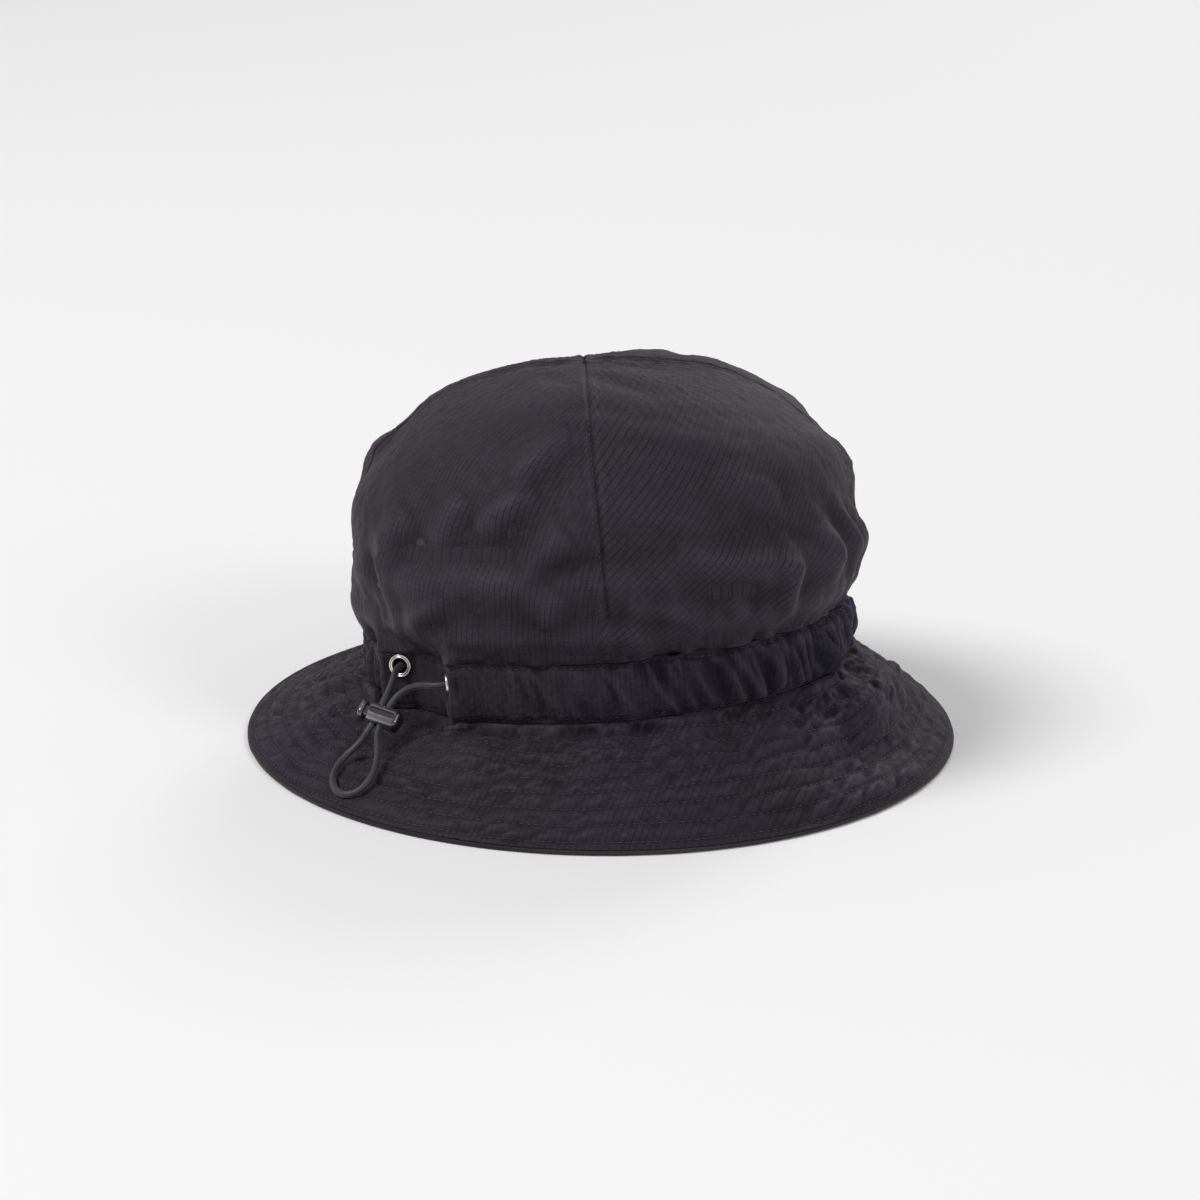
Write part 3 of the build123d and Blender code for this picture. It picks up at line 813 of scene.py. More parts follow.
# ---- Stage, cord and trimmings ---------------------------------------------------------------
class HatStage(bpy.types.Operator):
    """Pale floor, soft lights and the camera"""
    bl_idname = "hat.stage"
    bl_label = "Stage"

    def execute(self, context):
        right = Vector((sqrt(0.5), -sqrt(0.5), 0))
        rise = radians(19.5)
        back = Vector((-sqrt(0.5) * cos(rise), -sqrt(0.5) * cos(rise), sin(rise)))
        up = back.cross(right)
        lens = bpy.data.cameras.new("camera")
        lens.sensor_width = 36
        lens.lens = 106.2
        lens.shift_y = 0.106
        lens.clip_end = 60
        camera = bpy.data.objects.new("camera", lens)
        bpy.context.scene.collection.objects.link(camera)
        camera.matrix_world = Matrix((right, up, back)).transposed().to_4x4()
        camera.location = back * 1.5
        context.scene.camera = camera

        mesh = bpy.data.meshes.new("floor")
        mesh.from_pydata([(-9, -9, 0), (9, -9, 0), (9, 9, 0), (-9, 9, 0)], [], [(0, 1, 2, 3)])
        material, _, shader = start_material("floor")
        shader.inputs["Base Color"].default_value = (*colours().floor, 1)
        shader.inputs["Roughness"].default_value = 0.9
        shader.inputs["Specular IOR Level"].default_value = 0.1
        floor = finish_mesh("floor", mesh, material)

        world = bpy.data.worlds.new("studio")
        world.use_nodes = True
        world.node_tree.nodes["Background"].inputs["Color"].default_value = (1, 1, 1, 1)
        world.node_tree.nodes["Background"].inputs["Strength"].default_value = 0.38
        context.scene.world = world
        context.scene.view_settings.view_transform = "Standard"
        ahead = Vector((-sqrt(0.5), -sqrt(0.5), 0))
        for name, spot, size, power in (
                ("key", right * -2.9 + ahead * 1.0 + Vector((0, 0, 3.9)), 2.0, 128.0),
                ("fill", right * 2.6 + ahead * 2.6 + Vector((0, 0, 2.4)), 1.6, 38.0),
                ("rim", right * 1.6 - ahead * 3.2 + Vector((0, 0, 2.6)), 1.6, 38.0)):
            lamp = bpy.data.lights.new(name, "AREA")
            lamp.shape = "DISK"
            lamp.size = size
            lamp.energy = power
            light = bpy.data.objects.new(name, lamp)
            bpy.context.scene.collection.objects.link(light)
            light.location = spot
            light.rotation_euler = (Vector((0, 0, 0.06)) - spot).to_track_quat("-Z", "Y").to_euler()
        return {"FINISHED"}


def eyelet_axis(washer, faces):
    """Centre of an eyelet on the cloth's face, and its outward direction."""
    out = np.array([cos(faces), sin(faces), 0.0])
    centre = lean(unlean(box_centre(washer)) + out * 1.45 * MM)
    return centre, lean(out) - lean(np.zeros(3))


class HatCord(bpy.types.Operator):
    """Elastic cord from eyelet to eyelet, through the cord lock"""
    bl_idname = "hat.cord"
    bl_label = "Drawcord"

    def execute(self, context):
        s = sizes()
        rear, rear_out = eyelet_axis("washer_rear", REAR_FACES)
        front, front_out = eyelet_axis("washer_front", FRONT_FACES)
        route = [rear - rear_out * MM, rear + rear_out * 4.6 * MM]
        route += [np.array(p) * MM for p in (
            (-99.2, 19.3, 39.4), (-106.1, 16.5, 34.6), (-116.9, 13.8, 25.5), (-120.6, 15.6, 19.6),
            (-127.6, 18.4, 14.2), (-135.8, 15.4, 10.4), (-141.8, 8.4, 7.6), (-143.2, 0.2, 6.9),
            (-138.9, -5.4, 9.4), (-130.0, -4.0, 15.2), (-122.0, 3.2, 20.0), (-115.7, 11.2, 24.8),
            (-104.9, 13.9, 34.0), (-99.8, 11.0, 38.6), (-98.7, 2.6, 42.2))]
        route += [front + front_out * 5.4 * MM, front - front_out * MM]
        curve = bpy.data.curves.new("cord_line", "CURVE")
        curve.dimensions = "3D"
        curve.resolution_u = 24
        spline = curve.splines.new("NURBS")
        spline.points.add(len(route) - 1)
        for point, place_at in zip(spline.points, route):
            point.co = (*place_at, 1)
        spline.order_u = 3
        spline.use_endpoint_u = True
        carrier = bpy.data.objects.new("cord_line", curve)
        bpy.context.scene.collection.objects.link(carrier)
        graph = bpy.context.evaluated_depsgraph_get()
        line_mesh = bpy.data.meshes.new_from_object(carrier.evaluated_get(graph), depsgraph=graph)
        line = np.array([v.co for v in line_mesh.vertices], float)
        bpy.data.objects.remove(carrier)
        bpy.data.curves.remove(curve)
        bpy.data.meshes.remove(line_mesh)
        if np.linalg.norm(line[0] - route[0]) > np.linalg.norm(line[-1] - route[0]):
            line = line[::-1]
        cord = braided_tube("drawcord", line, s.cord, cord_material("cord_braid", colours().cord))
        place(cord, "hat")
        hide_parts("drawcord_loop")
        return {"FINISHED"}


def braided_tube(name, line, diameter, material):
    """Tube along a line, with the two-way strands of a braid as shallow relief."""
    step = 0.24 * MM
    lengths = np.concatenate([[0], np.cumsum(np.linalg.norm(np.diff(line, axis=0), axis=1))])
    count = int(lengths[-1] / step)
    spots = np.linspace(0, lengths[-1], count)
    path = np.stack([np.interp(spots, lengths, line[:, k]) for k in range(3)], -1)
    tangent = np.gradient(path, axis=0)
    tangent /= np.linalg.norm(tangent, axis=1, keepdims=True)
    side = np.zeros_like(path)
    side[0] = np.cross(tangent[0], (0, 0, 1.0))
    for k in range(1, count):
        side[k] = side[k - 1] - tangent[k] * np.dot(side[k - 1], tangent[k])
        side[k] /= np.linalg.norm(side[k])
    side[0] = side[1]
    other = np.cross(tangent, side)
    around = 28
    turn = np.linspace(0, 2 * pi, around, endpoint=False)[None]
    along = spots[:, None]
    strands, pitch = 8, 6.4 * MM
    one = np.cos(strands * (turn + 2 * pi * along / pitch))
    two = np.cos(strands * (turn - 2 * pi * along / pitch))
    relief = np.maximum(one, two)
    radius = diameter / 2 * (1 + 0.055 * relief - 0.03)
    spokes = side[:, None] * np.cos(turn)[..., None] + other[:, None] * np.sin(turn)[..., None]
    grid = path[:, None] + spokes * radius[..., None]
    # columns run clockwise about the tangent, so that faces point outwards
    u = np.broadcast_to(np.linspace(0, pi * diameter, around + 1)[None], (count, around + 1))
    v = np.broadcast_to(along, (count, around + 1))
    ends = np.concatenate([path[:1, None].repeat(around, 1), grid, path[-1:, None].repeat(around, 1)])
    u = np.concatenate([u[:1], u, u[-1:]])
    v = np.concatenate([v[:1], v, v[-1:]])
    relief = np.concatenate([relief[:1], relief, relief[-1:]])
    return grid_object(name, ends, material, poles=(0, len(ends) - 1), uv=(u, v), marks={"ridge": relief})


class HatMetal(bpy.types.Operator):
    """Finishes of the eyelets, washers, cord lock and its spring"""
    bl_idname = "hat.metal"
    bl_label = "Eyelets and cord lock"

    def execute(self, context):
        c = colours()
        nickel = metal_material("nickel", c.metal, 0.2, (0.95, 0.93, 0.9))
        gunmetal = metal_material("gunmetal", c.lock, 0.22, (0.45, 0.44, 0.45), metallic=0.85, coat=0.6)
        steel = metal_material("spring_steel", (0.5, 0.5, 0.52), 0.3, (0.8, 0.8, 0.8))
        inside = cord_material("cord_inside", c.cord)
        for node, material in (
                ("eyelet_rear", nickel), ("eyelet_front", nickel), ("washer_rear", nickel),
                ("washer_front", nickel), ("lock_barrel", gunmetal), ("lock_plunger", gunmetal),
                ("lock_spring", steel), ("drawcord_channel", inside)):
            held = frame["nodes"][node]
            held.data.materials.clear()
            held.data.materials.append(material)
        return {"FINISHED"}


# ---- Cloth pieces ------------------------------------------------------------------------------
def gather_share(angle):
    """How strongly the tunnel gathers the cloth on each side of the hat, 0 to 1."""
    plain = np.cos(angle - radians(200)) > cos(radians(27))
    softened = blur_round(plain.astype(float), len(angle) / 60)
    return 1 - 0.6 * softened


def gathers(angle, along, count, slant, seed, sharp=1.0):
    """Uneven gathers round the hat that slant as they go up."""
    rng = np.random.default_rng(seed)
    turn = angle / (2 * pi)
    wander = lattice_noise(turn % 1, np.clip(along, 0, 1), 23, 3, seed) * 0.5
    wave = np.zeros_like(turn + along)
    for share, weight in ((1.0, 0.55), (0.62, 0.5), (1.7, 0.3)):
        cycles = round(count * share)
        phase = rng.uniform(0, 2 * pi)
        cycle = cycles * turn + slant * share * along + wander * share
        wave = wave + weight * np.sin(2 * pi * cycle + phase)
    return np.sign(wave) * np.abs(wave) ** sharp


def crease(theta, height, start, end, depth, width, radius=100 * MM):
    """A soft long fold between two places on the crown, each an angle and a height."""
    x, y = theta * radius, height
    ax, ay = radians(start[0]) * radius, start[1] * MM
    bx, by = radians(end[0]) * radius, end[1] * MM
    dx, dy = bx - ax, by - ay
    span = dx * dx + dy * dy
    turn = 2 * pi * radius
    ox = (x - ax + turn / 2) % turn - turn / 2
    t = np.clip((ox * dx + (y - ay) * dy) / span, 0, 1)
    far = np.hypot(ox - dx * t, y - ay - dy * t)
    side = np.sign(ox * dy - (y - ay) * dx)
    taper = np.sin(pi * np.clip(t, 0.02, 0.98)) ** 0.6
    q = far / (width * MM)
    return depth * MM * taper * (np.exp(-q * q) - 0.45 * side * q * np.exp(-0.5 * q * q))


CROWN_CREASES = (
    ((196, 78), (212, 92), 1.6, 6), ((203, 96), (219, 108), 1.3, 6), ((186, 70), (192, 92), 1.2, 7),
    ((207, 62), (219, 74), 1.4, 6), ((240, 66), (262, 52), 1.8, 7), ((252, 92), (270, 76), 1.2, 8),
    ((283, 40), (281, 66), 1.7, 6), ((296, 38), (291, 72), 1.5, 6), ((168, 60), (176, 84), 1.3, 8),
    ((229, 46), (246, 40), 1.1, 5), ((150, 48), (164, 60), 1.4, 7), ((306, 60), (322, 84), 1.5, 8),
    ((98, 62), (116, 80), 1.5, 7), ((64, 46), (82, 66), 1.6, 8), ((20, 60), (34, 88), 1.4, 7),
    ((348, 50), (4, 70), 1.5, 8), ((122, 90), (138, 104), 1.1, 7), ((330, 92), (352, 100), 1.2, 7),
    ((40, 98), (62, 110), 1.0, 7), ((176, 40), (190, 50), 1.2, 5), ((212, 40), (216, 54), 1.1, 5),
    ((266, 36), (268, 58), 1.6, 5), ((256, 36), (252, 50), 1.2, 5), ((310, 40), (304, 58), 1.3, 6),
)


def crown_cut(grid, theta, climb):
    """The crown as it was cut: fuller at the gathered seam, a little longer, and slightly twisted."""
    share = gather_share(theta)
    body = smooth_step(climb, 0.0, 0.1) * (1 - smooth_step(climb, 0.8, 0.97))
    patches = lattice_noise((theta / (2 * pi)) % 1, climb + 0 * theta, 8, 4, 17)
    fuller = 1 + 0.16 * share * np.exp(-climb / 0.1) + (0.09 + 0.05 * patches) * body
    twist = 0.05 * climb
    x, y = grid[..., 0] * fuller, grid[..., 1] * fuller
    cut = grid.copy()
    cut[..., 0] = x * np.cos(twist) - y * np.sin(twist)
    cut[..., 1] = x * np.sin(twist) + y * np.cos(twist)
    cut[..., 2] *= 1.05
    return cut


def draped_crown(plan, rows):
    """Crown cloth after it has been sewn, puffed out and left to crumple."""
    s = sizes()
    grid, theta = crown_grid(plan, rows)
    height = grid[..., 2]
    climb = np.linspace(0, 1, rows)[:, None]
    turn, up = (theta / (2 * pi)) % 1, climb + 0 * theta
    share = gather_share(theta)
    seeds = puckers(turn, up, 104, 9, 1.0, 21) * share * 2.3 * np.exp(-climb / 0.07)
    near_seam = np.exp(-climb / 0.16) * smooth_step(climb, 0, 0.03)
    seeds += puckers(turn, up, 44, 6, 0.5, 24) * share * 3.0 * near_seam
    seeds += 3.4 * np.exp(-((climb - 0.06) / 0.045) ** 2) * (0.6 + 0.4 * share)
    broad = lattice_noise((turn + 0.12 * up) % 1, up, 9, 6, 5) * 2.2
    broad += lattice_noise((turn + 0.5 * up) % 1, up, 24, 10, 6) * 0.8
    seeds += broad * smooth_step(climb, 0, 0.1) * (1 - smooth_step(climb, 0.82, 1.0))
    lift = seeds * MM
    for start, end, depth, width in CROWN_CREASES:
        lift = lift + 3.0 * crease(theta, height, start, end, depth, width)
    crumpled = bumped(grid, lift)
    pins = np.full((rows, len(plan)), 0.01)
    away = np.abs(dart_distance(theta, np.hypot(grid[..., 0], grid[..., 1])))
    pins[(away < 1.6 * MM) & (height > s.dart_end)] = 0.35
    pins[:1] = 1
    pins[-5:] = 1
    return settle(crumpled, crown_cut(grid, theta, climb), pins, 40, 0.16, 0.002, 11, 11 * MM, 0.5)


class HatCrown(bpy.types.Operator):
    """Puffy crown cloth, gathered into the tunnel and darted at the top"""
    bl_idname = "hat.crown"
    bl_label = "Crown"

    def execute(self, context):
        s, c = sizes(), colours()
        rows, plan = 128, PLAN[::3]
        laid, theta = crown_grid(plan, rows)
        climb = np.linspace(0, 1, rows)[:, None]
        draped = draped_crown(PLAN[::6], 84)
        grid = resample_columns(resample_rows(draped, rows), len(plan))
        height = laid[..., 2]
        half = np.hypot(grid[..., 0], grid[..., 1])
        normal = grid_normals(grid)
        away = dart_distance(theta, np.maximum(half, 1 * MM))
        sewn = smooth_step(height, s.dart_end - 1 * MM, s.dart_end + 3 * MM)
        pucker_run = np.sin(2 * pi * height / (7.5 * MM) + 1.4 * np.sin(2 * pi * height / (19 * MM)))
        near = np.exp(-np.abs(away) / (6 * MM)) * (1 - np.exp(-(away / (1.4 * MM)) ** 2))
        pucker_height, seam_depth, roll_height = 0.42, 0.6, 0.35
        lift = sewn * near * pucker_run * pucker_height * MM * np.where(away > 0, 0.6, 1.0)
        lift = lift - sewn * seam_depth * MM * np.exp(-(away / (0.8 * MM)) ** 2)
        lift = lift + sewn * roll_height * MM * np.exp(-((np.abs(away) - 2.2 * MM) / (1.4 * MM)) ** 2)
        top = 1 - smooth_step(climb, 0.965, 1.0)
        grid = grid + normal * (lift * top)[..., None]
        grid[-1] = grid[-1].mean(0)
        ridge = convexity(grid, 4) * top

        # the turned edge under the seam, and the cloth's back
        inner = resample_rows(grid - grid_normals(grid) * s.cloth, 18)[::-1]
        whole = lean(np.concatenate([inner, grid]))
        petal = np.floor((theta - pi / 4) / (pi / 2))
        middle = (petal + 1) * pi / 2
        v = run_lengths(laid, 0)
        u_left = (theta - middle) * np.hypot(laid[..., 0], laid[..., 1])
        u = widened(u_left)
        grains = {0: radians(30), 1: radians(12), 2: radians(50), 3: radians(68)}
        grain = np.vectorize(lambda p: grains[int(p) % 4])(petal[-2])
        grain = np.concatenate([grain, grain[:1]])[None]
        uu = u * np.cos(grain) - v * np.sin(grain)
        vv = u * np.sin(grain) + v * np.cos(grain)
        back = len(inner)
        uu = np.concatenate([uu[:1].repeat(back, 0), uu])
        vv = np.concatenate([vv[:1].repeat(back, 0), vv])
        ridge = np.concatenate([0 * ridge[:1].repeat(back, 0), ridge])
        cloth = cloth_material("ripstop_crown", c.cloth, (0.024, 0.0165, 0.0265), RIPSTOP, 0.95, 0.45,
                               second=0.45)
        crown = grid_object("crown_cloth", whole, cloth, poles=(0, len(whole) - 1), uv=(uu, vv),
                            marks={"ridge": ridge})
        place(crown, "hat")
        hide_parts("crown_shell")

        thread = thread_material("dart_thread", c.thread)
        lines = []
        for k in range(4):
            angle = pi / 4 + k * pi / 2
            column = int(np.argmin(np.abs((theta[rows // 2] - angle + pi) % (2 * pi) - pi)))
            beside = (column - 2) % len(plan)
            picked = [r for r in range(rows) if height[r, 0] > s.dart_end and climb[r, 0] < 0.955]
            strip = grid[picked, beside] + grid_normals(grid)[picked, beside] * 0.08 * MM
            lines.append((lean(strip), False))
        sewing = stitches("dart_stitching", lines, s.stitch_pitch * 0.8, 1.8 * MM, s.thread * 0.8, thread)
        place(sewing, "hat")
        return {"FINISHED"}


def puckers(turn, along, cells, levels, slant, seed):
    """Uneven cloth puckers that run up the cloth, leaning by slant puckers over its height."""
    leaning = (turn + slant * along / cells) % 1
    wave = lattice_noise(leaning, along, cells, levels, seed)
    return wave + 0.45 * lattice_noise(leaning, along, round(cells * 1.9), levels + 1, seed + 1)


class HatTunnel(bpy.types.Operator):
    """Gathered drawcord tunnel with the folded cord exit"""
    bl_idname = "hat.tunnel"
    bl_label = "Drawcord tunnel"

    def execute(self, context):
        s, c = sizes(), colours()
        plan, rows = PLAN[::2], 32
        grid = tunnel_grid(plan, rows)
        climb = np.linspace(0, 1, rows)[:, None]
        angle, _, _ = column_angles(plan)
        share = gather_share(angle)[None]
        calm = np.ones((rows, len(plan)))
        holes = np.zeros((rows, len(plan)), bool)
        for washer, faces in (("washer_rear", REAR_FACES), ("washer_front", FRONT_FACES)):
            centre, out = eyelet_axis(washer, faces)
            gap = lean(grid) - centre
            depth = gap @ out
            far = np.linalg.norm(gap - depth[..., None] * out, axis=-1)
            flat = smooth_step(far, 5.5 * MM, 10 * MM)
            calm = np.minimum(calm, np.where(np.abs(depth) < 4 * MM, flat, 1))
            holes |= (far < 4.0 * MM) & (np.abs(depth) < 2.5 * MM)
        turn, up = (angle[None] / (2 * pi)) % 1, climb + 0 * angle[None]
        middle = np.sin(pi * climb)
        ends = np.exp(-climb / 0.2) + np.exp(-(1 - climb) / 0.2)
        tab = np.exp(-(((angle[None] - radians(172) + pi) % (2 * pi) - pi) / radians(15)) ** 2)
        slanted = puckers(turn, up, 112, 1, 1.3, 31) + 0.5 * puckers(turn, up, 60, 1, -0.6, 34)
        fine = puckers(turn, up, 190, 2, 0.4, 32)
        puff, gather_depth, edge_depth, wave_height = 2.6, 3.1, 1.4, 1.2
        lift = puff * middle**0.6 + slanted * share * (0.6 + 0.7 * middle) * gather_depth
        lift = lift + fine * share * ends * edge_depth
        sewn = smooth_step(np.minimum(climb, 1 - climb), 0.0, 0.06)
        lift = lift * (1 - 0.8 * tab) * calm * sewn
        seam_wave = puckers(turn, up * 0, 70, 1, 0, 36) * share * (1 - tab) * wave_height
        # the first and last rows stay on their seams, so the waves open no gap
        low_wave = seam_wave * np.exp(-climb / 0.25) * smooth_step(climb, 0.0, 0.1)
        high_wave = np.roll(seam_wave, 11, 1) * np.exp(-(1 - climb) / 0.25) * smooth_step(1 - climb, 0.0, 0.1)
        grid[..., 2] += (low_wave + high_wave) * MM
        smooth = grid
        grid = bumped(grid, lift * MM)
        cut = smooth.copy()
        swell = 1 + 0.30 * share * (1 - tab) + 0.01
        slide = 0.035 * share * climb
        cut[..., 0] = (smooth[..., 0] * np.cos(slide) - smooth[..., 1] * np.sin(slide)) * swell
        cut[..., 1] = (smooth[..., 0] * np.sin(slide) + smooth[..., 1] * np.cos(slide)) * swell
        cut[..., 2] *= 1.08
        pins = 0.02 + 0.98 * (1 - calm) + 0.9 * np.clip(tab - 0.55, 0, 1)
        pins = np.clip(pins, 0, 1)
        pins[:1] = pins[-1:] = 1
        pins[2:3] = pins[-3:-2] = 0.6
        few = 24
        picked = np.round(np.linspace(0, rows - 1, few)).astype(int)
        placed = resample_rows(grid, few)[:, ::2]
        cut = resample_rows(cut, few)[:, ::2]
        drape = settle(placed, cut, pins[picked][:, ::2], 26, 0.5, 0.003, 12, 4 * MM) - placed
        grid = grid + resample_columns(resample_rows(drape, rows), len(plan))
        seamed = 0.8 * np.exp(-(np.minimum(climb, 1 - climb) - 0.06) ** 2 / 0.0006)
        grid = bumped(grid, -seamed * calm * MM)
        ridge = convexity(grid, 3)
        world = lean(grid)
        u, v = run_lengths(grid, 1), run_lengths(grid, 0)
        u = u[rows // 2][None].repeat(rows, 0)
        # painted shade: the crown's cloth colour darkened to 0.72 for the tunnel, under the crown's overhang
        cloth = cloth_material("ripstop_tunnel", np.array(c.cloth) * 0.72, (0.014, 0.0105, 0.028), RIPSTOP,
                               0.85, 1.2)
        tunnel = grid_object("tunnel_cloth", world, cloth, uv=(u, v), marks={"ridge": ridge}, drop=holes)
        thicken(tunnel, s.cloth)
        place(tunnel, "hat")
        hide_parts("drawcord_casing", "cord_exit_tab")
        thread = thread_material("tunnel_thread", c.thread)
        lines = [(world[row] + grid_normals(world)[row] * 0.1 * MM, True) for row in (2, rows - 3)]
        sewing = stitches("tunnel_stitching", lines, s.stitch_pitch, 2.2 * MM, s.thread, thread)
        place(sewing, "hat")
        return {"FINISHED"}


class HatBrim(bpy.types.Operator):
    """Stitched brim with its puckers, edge binding and rows of stitching"""
    bl_idname = "hat.brim"
    bl_label = "Brim"

    def execute(self, context):
        s, c = sizes(), colours()
        plan, rows = PLAN[::2], 76
        grid, angle = brim_grid(plan, rows)
        t = np.linspace(0, 1, rows)[:, None]
        theta = angle[None]
        turn = (theta / (2 * pi)) % 1
        share = gather_share(angle)[None]
        seams = np.linspace(0.12, 0.84, s.stitch_rows)
        edge_row = 0.955
        all_seams = np.concatenate([[0.0], seams, [edge_row]])
        pucker_height, pull_height, fold_depth, wave_depth = 1.5, 2.6, 5.4, 4.2
        distance = np.min(np.abs(t - all_seams[:, None].T), axis=1, keepdims=True)
        up = t + 0 * turn
        pucker = np.zeros_like(up)
        for k, (low, high) in enumerate(zip(all_seams, all_seams[1:])):
            inside = (t >= low) & (t < high)
            local = np.clip((t - low) / (high - low), 0, 1)
            wave = puckers(turn, local + 0 * turn, 150 - 4 * k, 1, 0.7, 50 + 3 * k)
            patchy = 0.4 + 1.0 * np.abs(lattice_noise(turn, up, 21, 4, 90 + k))
            strength = pucker_height * (1 - 0.35 * t) * patchy
            pucker = np.where(inside, wave * strength * np.sin(pi * local) ** 0.6, pucker)
        pull = puckers(turn, up, 96, 4, 0.8, 71) * pull_height * (0.3 + 0.7 * share) * np.exp(-t / 0.15)
        folds = puckers(turn, up, 40, 3, 0.4, 75) * fold_depth * np.exp(-t / 0.4)
        wide = lattice_noise(turn, up, 17, 3, 73) * wave_depth * np.sin(pi * np.clip(t, 0, 1)) ** 0.8
        rim = 1 - smooth_step(t, 0.965, 1.0)
        base = bumped(grid, -(folds + wide) * smooth_step(t, 0, 0.09) * rim * MM)
        smooth = grid
        normal = -grid_normals(base)
        grid = base + normal * ((pucker + pull) * smooth_step(t, 0, 0.07) * rim * MM)[..., None]
        centre = smooth.mean((0, 1))
        fuller = 1 + (0.05 + 0.09 * np.exp(-t / 0.15)) * rim
        cut = (smooth - centre) * np.stack([fuller, fuller, 1 + 0 * fuller], -1) + centre
        few = 42
        pins = np.full((few, len(plan) // 2), 0.04)
        pins[few - 1 - np.round(all_seams * (few - 1)).astype(int)] = 0.5
        pins[:2] = pins[-1:] = 1
        placed = resample_rows(grid[::-1], few)[:, ::2]
        cut = resample_rows(cut[::-1], few)[:, ::2]
        drape = settle(placed, cut, pins, 20, 0.3, 0.005, 13, 4 * MM) - placed
        grid = grid + resample_columns(resample_rows(drape, rows), len(plan))[::-1]
        lift = 0.16 * smooth_step(distance, 0.0, 0.045) - 0.45 * np.exp(-(distance / 0.013) ** 2)
        normal = -grid_normals(grid)
        grid = grid + normal * (lift * rim * MM)[..., None]
        top = grid[::-1]
        under = base - normal * (2.4 * MM * (1 - smooth_step(t, 0.93, 1.0)) * np.ones_like(up))[..., None]
        under = under + normal * (0.5 * pucker * (1 - smooth_step(t, 0.9, 1)) * MM)[..., None]
        under = under[np.linspace(0, rows - 1, 26).astype(int)]
        whole = np.concatenate([under, top])
        ridge_top = convexity(top, 3)
        ridge = np.concatenate([np.zeros((len(under), len(plan))), ridge_top])
        # the threads keep one direction over the whole brim
        grain = radians(20)
        flat = smooth[::-1]
        flat = np.concatenate([flat, flat[:, :1]], 1)
        u = -flat[..., 0] * sin(grain) + flat[..., 1] * cos(grain)
        v = flat[..., 0] * cos(grain) + flat[..., 1] * sin(grain)
        under_flat = np.concatenate([under, under[:, :1]], 1)
        u = np.concatenate([under_flat[..., 1], u])
        v = np.concatenate([under_flat[..., 0], v])
        # painted shade: the crown's cloth colour darkened to 0.85 for the brim
        cloth = cloth_material("ripstop_brim", np.array(c.cloth) * 0.85, (0.0175, 0.0122, 0.0255), RIPSTOP,
                               0.85, 0.9)
        brim = grid_object("brim_cloth", whole, cloth, loop=True, uv=(u, v), marks={"ridge": ridge})
        place(brim, "hat")
        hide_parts("brim_upper", "brim_interlining", "brim_lower")
        thread = thread_material("brim_thread", c.thread)
        lines = []
        for seam in list(seams) + [edge_row]:
            row = seam * (rows - 1)
            low = int(row)
            part = row - low
            line = grid[low] * (1 - part) + grid[low + 1] * part
            out = normal[low]
            lines.append((line + out * 0.12 * MM, True))
        sewing = stitches("brim_stitching", lines, s.stitch_pitch, 2.2 * MM, s.thread, thread)
        place(sewing, "hat")

        # rolled binding round the rim
        low, high = (np.array(corner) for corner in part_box("brim_edge_binding"))
        half_x, half_y = (high[0] - low[0]) / 2, (high[1] - low[1]) / 2
        tall = high[2] - low[2]
        ring = PLAN[::3]
        _, round_angle, _ = column_angles(ring)
        profile = np.linspace(0, 2 * pi, 18, endpoint=False)
        deep = 2.6 * MM
        out = deep * np.cos(profile)[:, None] - deep
        rise = tall / 2 * np.sign(np.sin(profile))[:, None] * np.abs(np.sin(profile))[:, None] ** 0.8
        pinch = 1 + 0.06 * np.sin(round_angle * 260)[None] * np.abs(np.cos(profile))[:, None]
        across = np.linspace(0, 1, 18)[:, None] + 0 * round_angle
        rough = lattice_noise((round_angle[None] / (2 * pi)) % 1, across, 90, 4, 81)
        out = out * pinch + rough * 0.12 * MM
        wall = np.stack([(half_x + out) * np.cos(round_angle), (half_y + out) * np.sin(round_angle),
                         tall / 2 + low[2] + rise * (1 + 0 * round_angle)], -1)
        bu, bv = run_lengths(wall, 1), run_lengths(wall, 0)
        tape = cloth_material("edge_binding", np.array(c.cloth) * 0.9, (0.055, 0.045, 0.042), 1.1 * MM,
                              0.3, 0.5)
        binding = grid_object("brim_binding", wall, tape, loop=True, uv=(bu, bv),
                              marks={"ridge": 0 * wall[..., 0]})
        place(binding, "hat")
        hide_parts("brim_edge_binding")
        return {"FINISHED"}


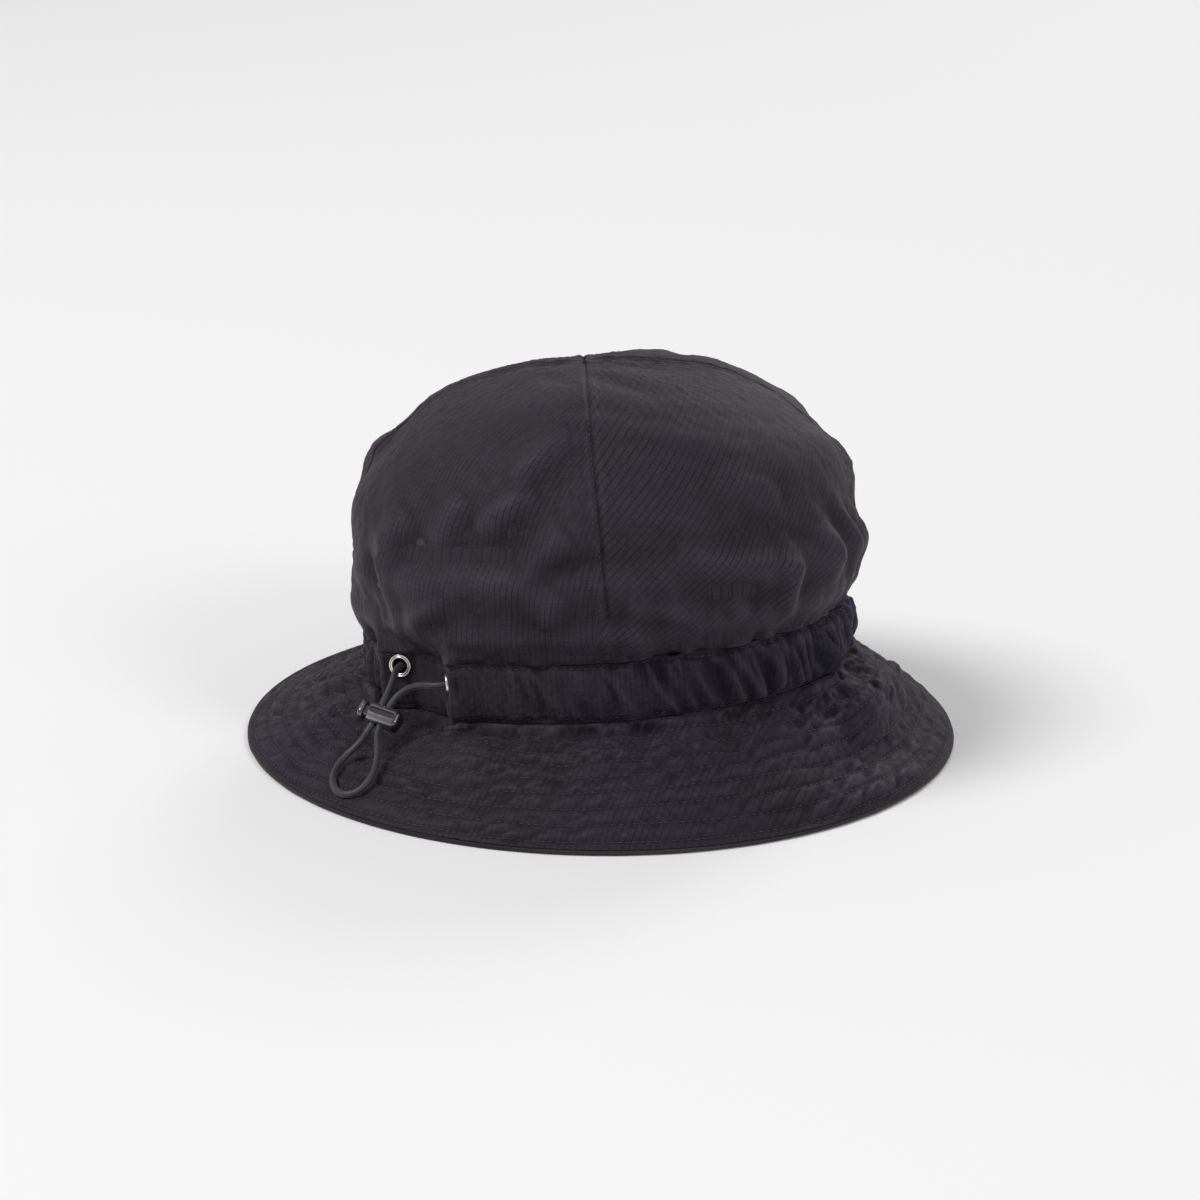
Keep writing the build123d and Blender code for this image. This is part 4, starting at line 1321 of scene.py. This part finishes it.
class HatInside(bpy.types.Operator):
    """Lining, sweatband and blank care label"""
    bl_idname = "hat.inside"
    bl_label = "Inside"

    def execute(self, context):
        s, c = sizes(), colours()
        plan, rows = PLAN[::6], 64
        grid, theta = crown_grid(plan, rows, inset=2.3 * MM)
        climb = np.linspace(0, 1, rows)[:, None]
        loose = lattice_noise((theta / (2 * pi)) % 1, climb + 0 * theta, 22, 9, 91) * 0.8
        loose += gathers(theta, climb, 60, 0.6, 92) * np.exp(-climb / 0.2) * 0.7
        grid = grid - grid_normals(grid) * (np.abs(loose) * MM * (1 - smooth_step(climb, 0.9, 1)))[..., None]
        grid[-1] = grid[-1].mean(0)
        u, v = run_lengths(grid, 1), run_lengths(grid, 0)
        fabric = cloth_material("lining_weave", c.lining, (0.026, 0.025, 0.036), 0.9 * MM, 0.12, 0.4,
                                sheen=0.15, rough_shift=-0.12)
        lining = grid_object("lining_cloth", lean(grid), fabric, poles=(rows - 1,), uv=(u, v),
                             marks={"ridge": convexity(grid, 2)})
        thicken(lining, 0.35 * MM)
        place(lining, "hat")
        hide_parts("crown_lining")

        # sweatband: a folded strip with turned edges
        inset = 4.6 * MM
        around = PLAN[::6]
        _, angle, _ = column_angles(around)
        profile = np.linspace(0, 2 * pi, 24, endpoint=False)
        thick = 0.6 * MM
        tall = 28 * MM
        side = thick * np.sign(np.cos(profile))[:, None] * np.abs(np.cos(profile))[:, None] ** 0.4
        rise = (tall / 2) * (1 + np.sign(np.sin(profile)) * np.abs(np.sin(profile)) ** 0.7)[:, None]
        halfway = np.zeros((1, len(angle))) + 0.5
        wave = lattice_noise((angle[None] / (2 * pi)) % 1, halfway, 26, 2, 95) * 0.25 * MM
        reach = -inset - thick + side + wave
        wall = np.stack([(SEAT_X + reach) * np.cos(angle), (SEAT_Y + reach) * np.sin(angle),
                         rise * (1 + 0 * angle)], -1)
        su, sv = run_lengths(wall, 1), run_lengths(wall, 0)
        band_cloth = cloth_material("sweatband_twill", c.lining, (0.03, 0.028, 0.036), 0.8 * MM, 0.3, 0.5,
                                    second=0.1)
        band = grid_object("sweatband_cloth", lean(wall), band_cloth, loop=True, uv=(su, sv),
                           marks={"ridge": 0 * wall[..., 0]})
        place(band, "hat")
        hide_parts("sweatband")
        thread = thread_material("inside_thread", c.thread)
        lines = []
        for high in (2.5 * MM, tall - 2.0 * MM):
            near = -inset - 2 * thick - 0.05 * MM
            row = np.stack([(SEAT_X + near) * np.cos(angle), (SEAT_Y + near) * np.sin(angle),
                            np.full(len(angle), high)], -1)
            lines.append((lean(row), True))

        # blank label
        low, high = (np.array(corner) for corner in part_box("care_label"))
        across = np.linspace(low[0], high[0], 40)
        levels = np.linspace(11 * MM, 26.5 * MM, 24)
        near = -inset - 2 * thick - 0.45 * MM
        gx, gz = np.meshgrid(across - SEAT[0], levels)
        gy = (SEAT_Y + near) * np.sqrt(1 - (gx / (SEAT_X + near)) ** 2)
        climbed = (gz - levels[0]) / (levels[-1] - levels[0])
        gy = gy - 0.35 * MM * np.sin((gx / gx.max() + 1) * pi / 2) * np.sin(climbed * 3)
        label = label_piece("blank_label", lean(np.stack([gx, gy, gz], -1)))
        place(label, "hat")
        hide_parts("care_label")
        sewing = stitches("sweatband_stitching", lines, s.stitch_pitch, 2.2 * MM, s.thread, thread)
        place(sewing, "hat")
        return {"FINISHED"}


def label_piece(name, grid):
    """Small woven tape label with no marks on it."""
    rows, columns = grid.shape[:2]
    corner = np.arange(rows * columns).reshape(rows, columns)
    quads = np.stack([corner[:-1, :-1], corner[1:, :-1], corner[1:, 1:], corner[:-1, 1:]], -1).reshape(-1, 4)
    mesh = bpy.data.meshes.new(name)
    mesh.from_pydata(grid.reshape(-1, 3).tolist(), [], quads.tolist())
    layer = mesh.uv_layers.new(name="cloth_uv")
    flat = np.stack(np.meshgrid(np.linspace(0, 26 * MM, columns), np.linspace(0, 15.5 * MM, rows)), -1)
    layer.data.foreach_set("uv", flat.reshape(-1, 2)[quads.reshape(-1)].reshape(-1).astype(np.float32))
    attribute = mesh.attributes.new("ridge", "FLOAT", "POINT")
    attribute.data.foreach_set("value", np.zeros(rows * columns, np.float32))
    tape = cloth_material("label_tape", (0.55, 0.54, 0.52), (0.5, 0.49, 0.47), 0.5 * MM, 0.2, 0.2, sheen=0.1)
    piece = finish_mesh(name, mesh, tape)
    thicken(piece, 0.3 * MM, offset=0)
    return piece


# ---- Panel and run ---------------------------------------------------------------------------------
class HatPanel(bpy.types.Panel):
    """Lists the hat's pieces and sizes"""
    bl_idname = "VIEW3D_PT_hat"
    bl_label = "Bucket hat"
    bl_space_type = "VIEW_3D"
    bl_region_type = "UI"
    bl_category = "Hat"

    def draw(self, context):
        for operator in OPERATORS:
            self.layout.operator(operator.bl_idname)
        for group in (context.scene.hat_sizes, context.scene.hat_colours):
            for key in type(group).__annotations__:
                self.layout.prop(group, key)


OPERATORS = (HatStage, HatCord, HatMetal, HatCrown, HatTunnel, HatBrim, HatInside)
CLASSES = (HatSizes, HatColours, *OPERATORS, HatPanel)


def register():
    for one in CLASSES:
        bpy.utils.register_class(one)
    bpy.types.Scene.hat_sizes = bpy.props.PointerProperty(type=HatSizes)
    bpy.types.Scene.hat_colours = bpy.props.PointerProperty(type=HatColours)


def unregister():
    del bpy.types.Scene.hat_colours
    del bpy.types.Scene.hat_sizes
    for one in reversed(CLASSES):
        bpy.utils.unregister_class(one)


def main():
    global PLAN
    register()
    PLAN = tunnel_plan()
    bpy.ops.hat.stage()
    bpy.ops.hat.cord()
    bpy.ops.hat.metal()
    bpy.ops.hat.crown()
    bpy.ops.hat.tunnel()
    bpy.ops.hat.brim()
    bpy.ops.hat.inside()


if __name__ == "__main__":
    main()
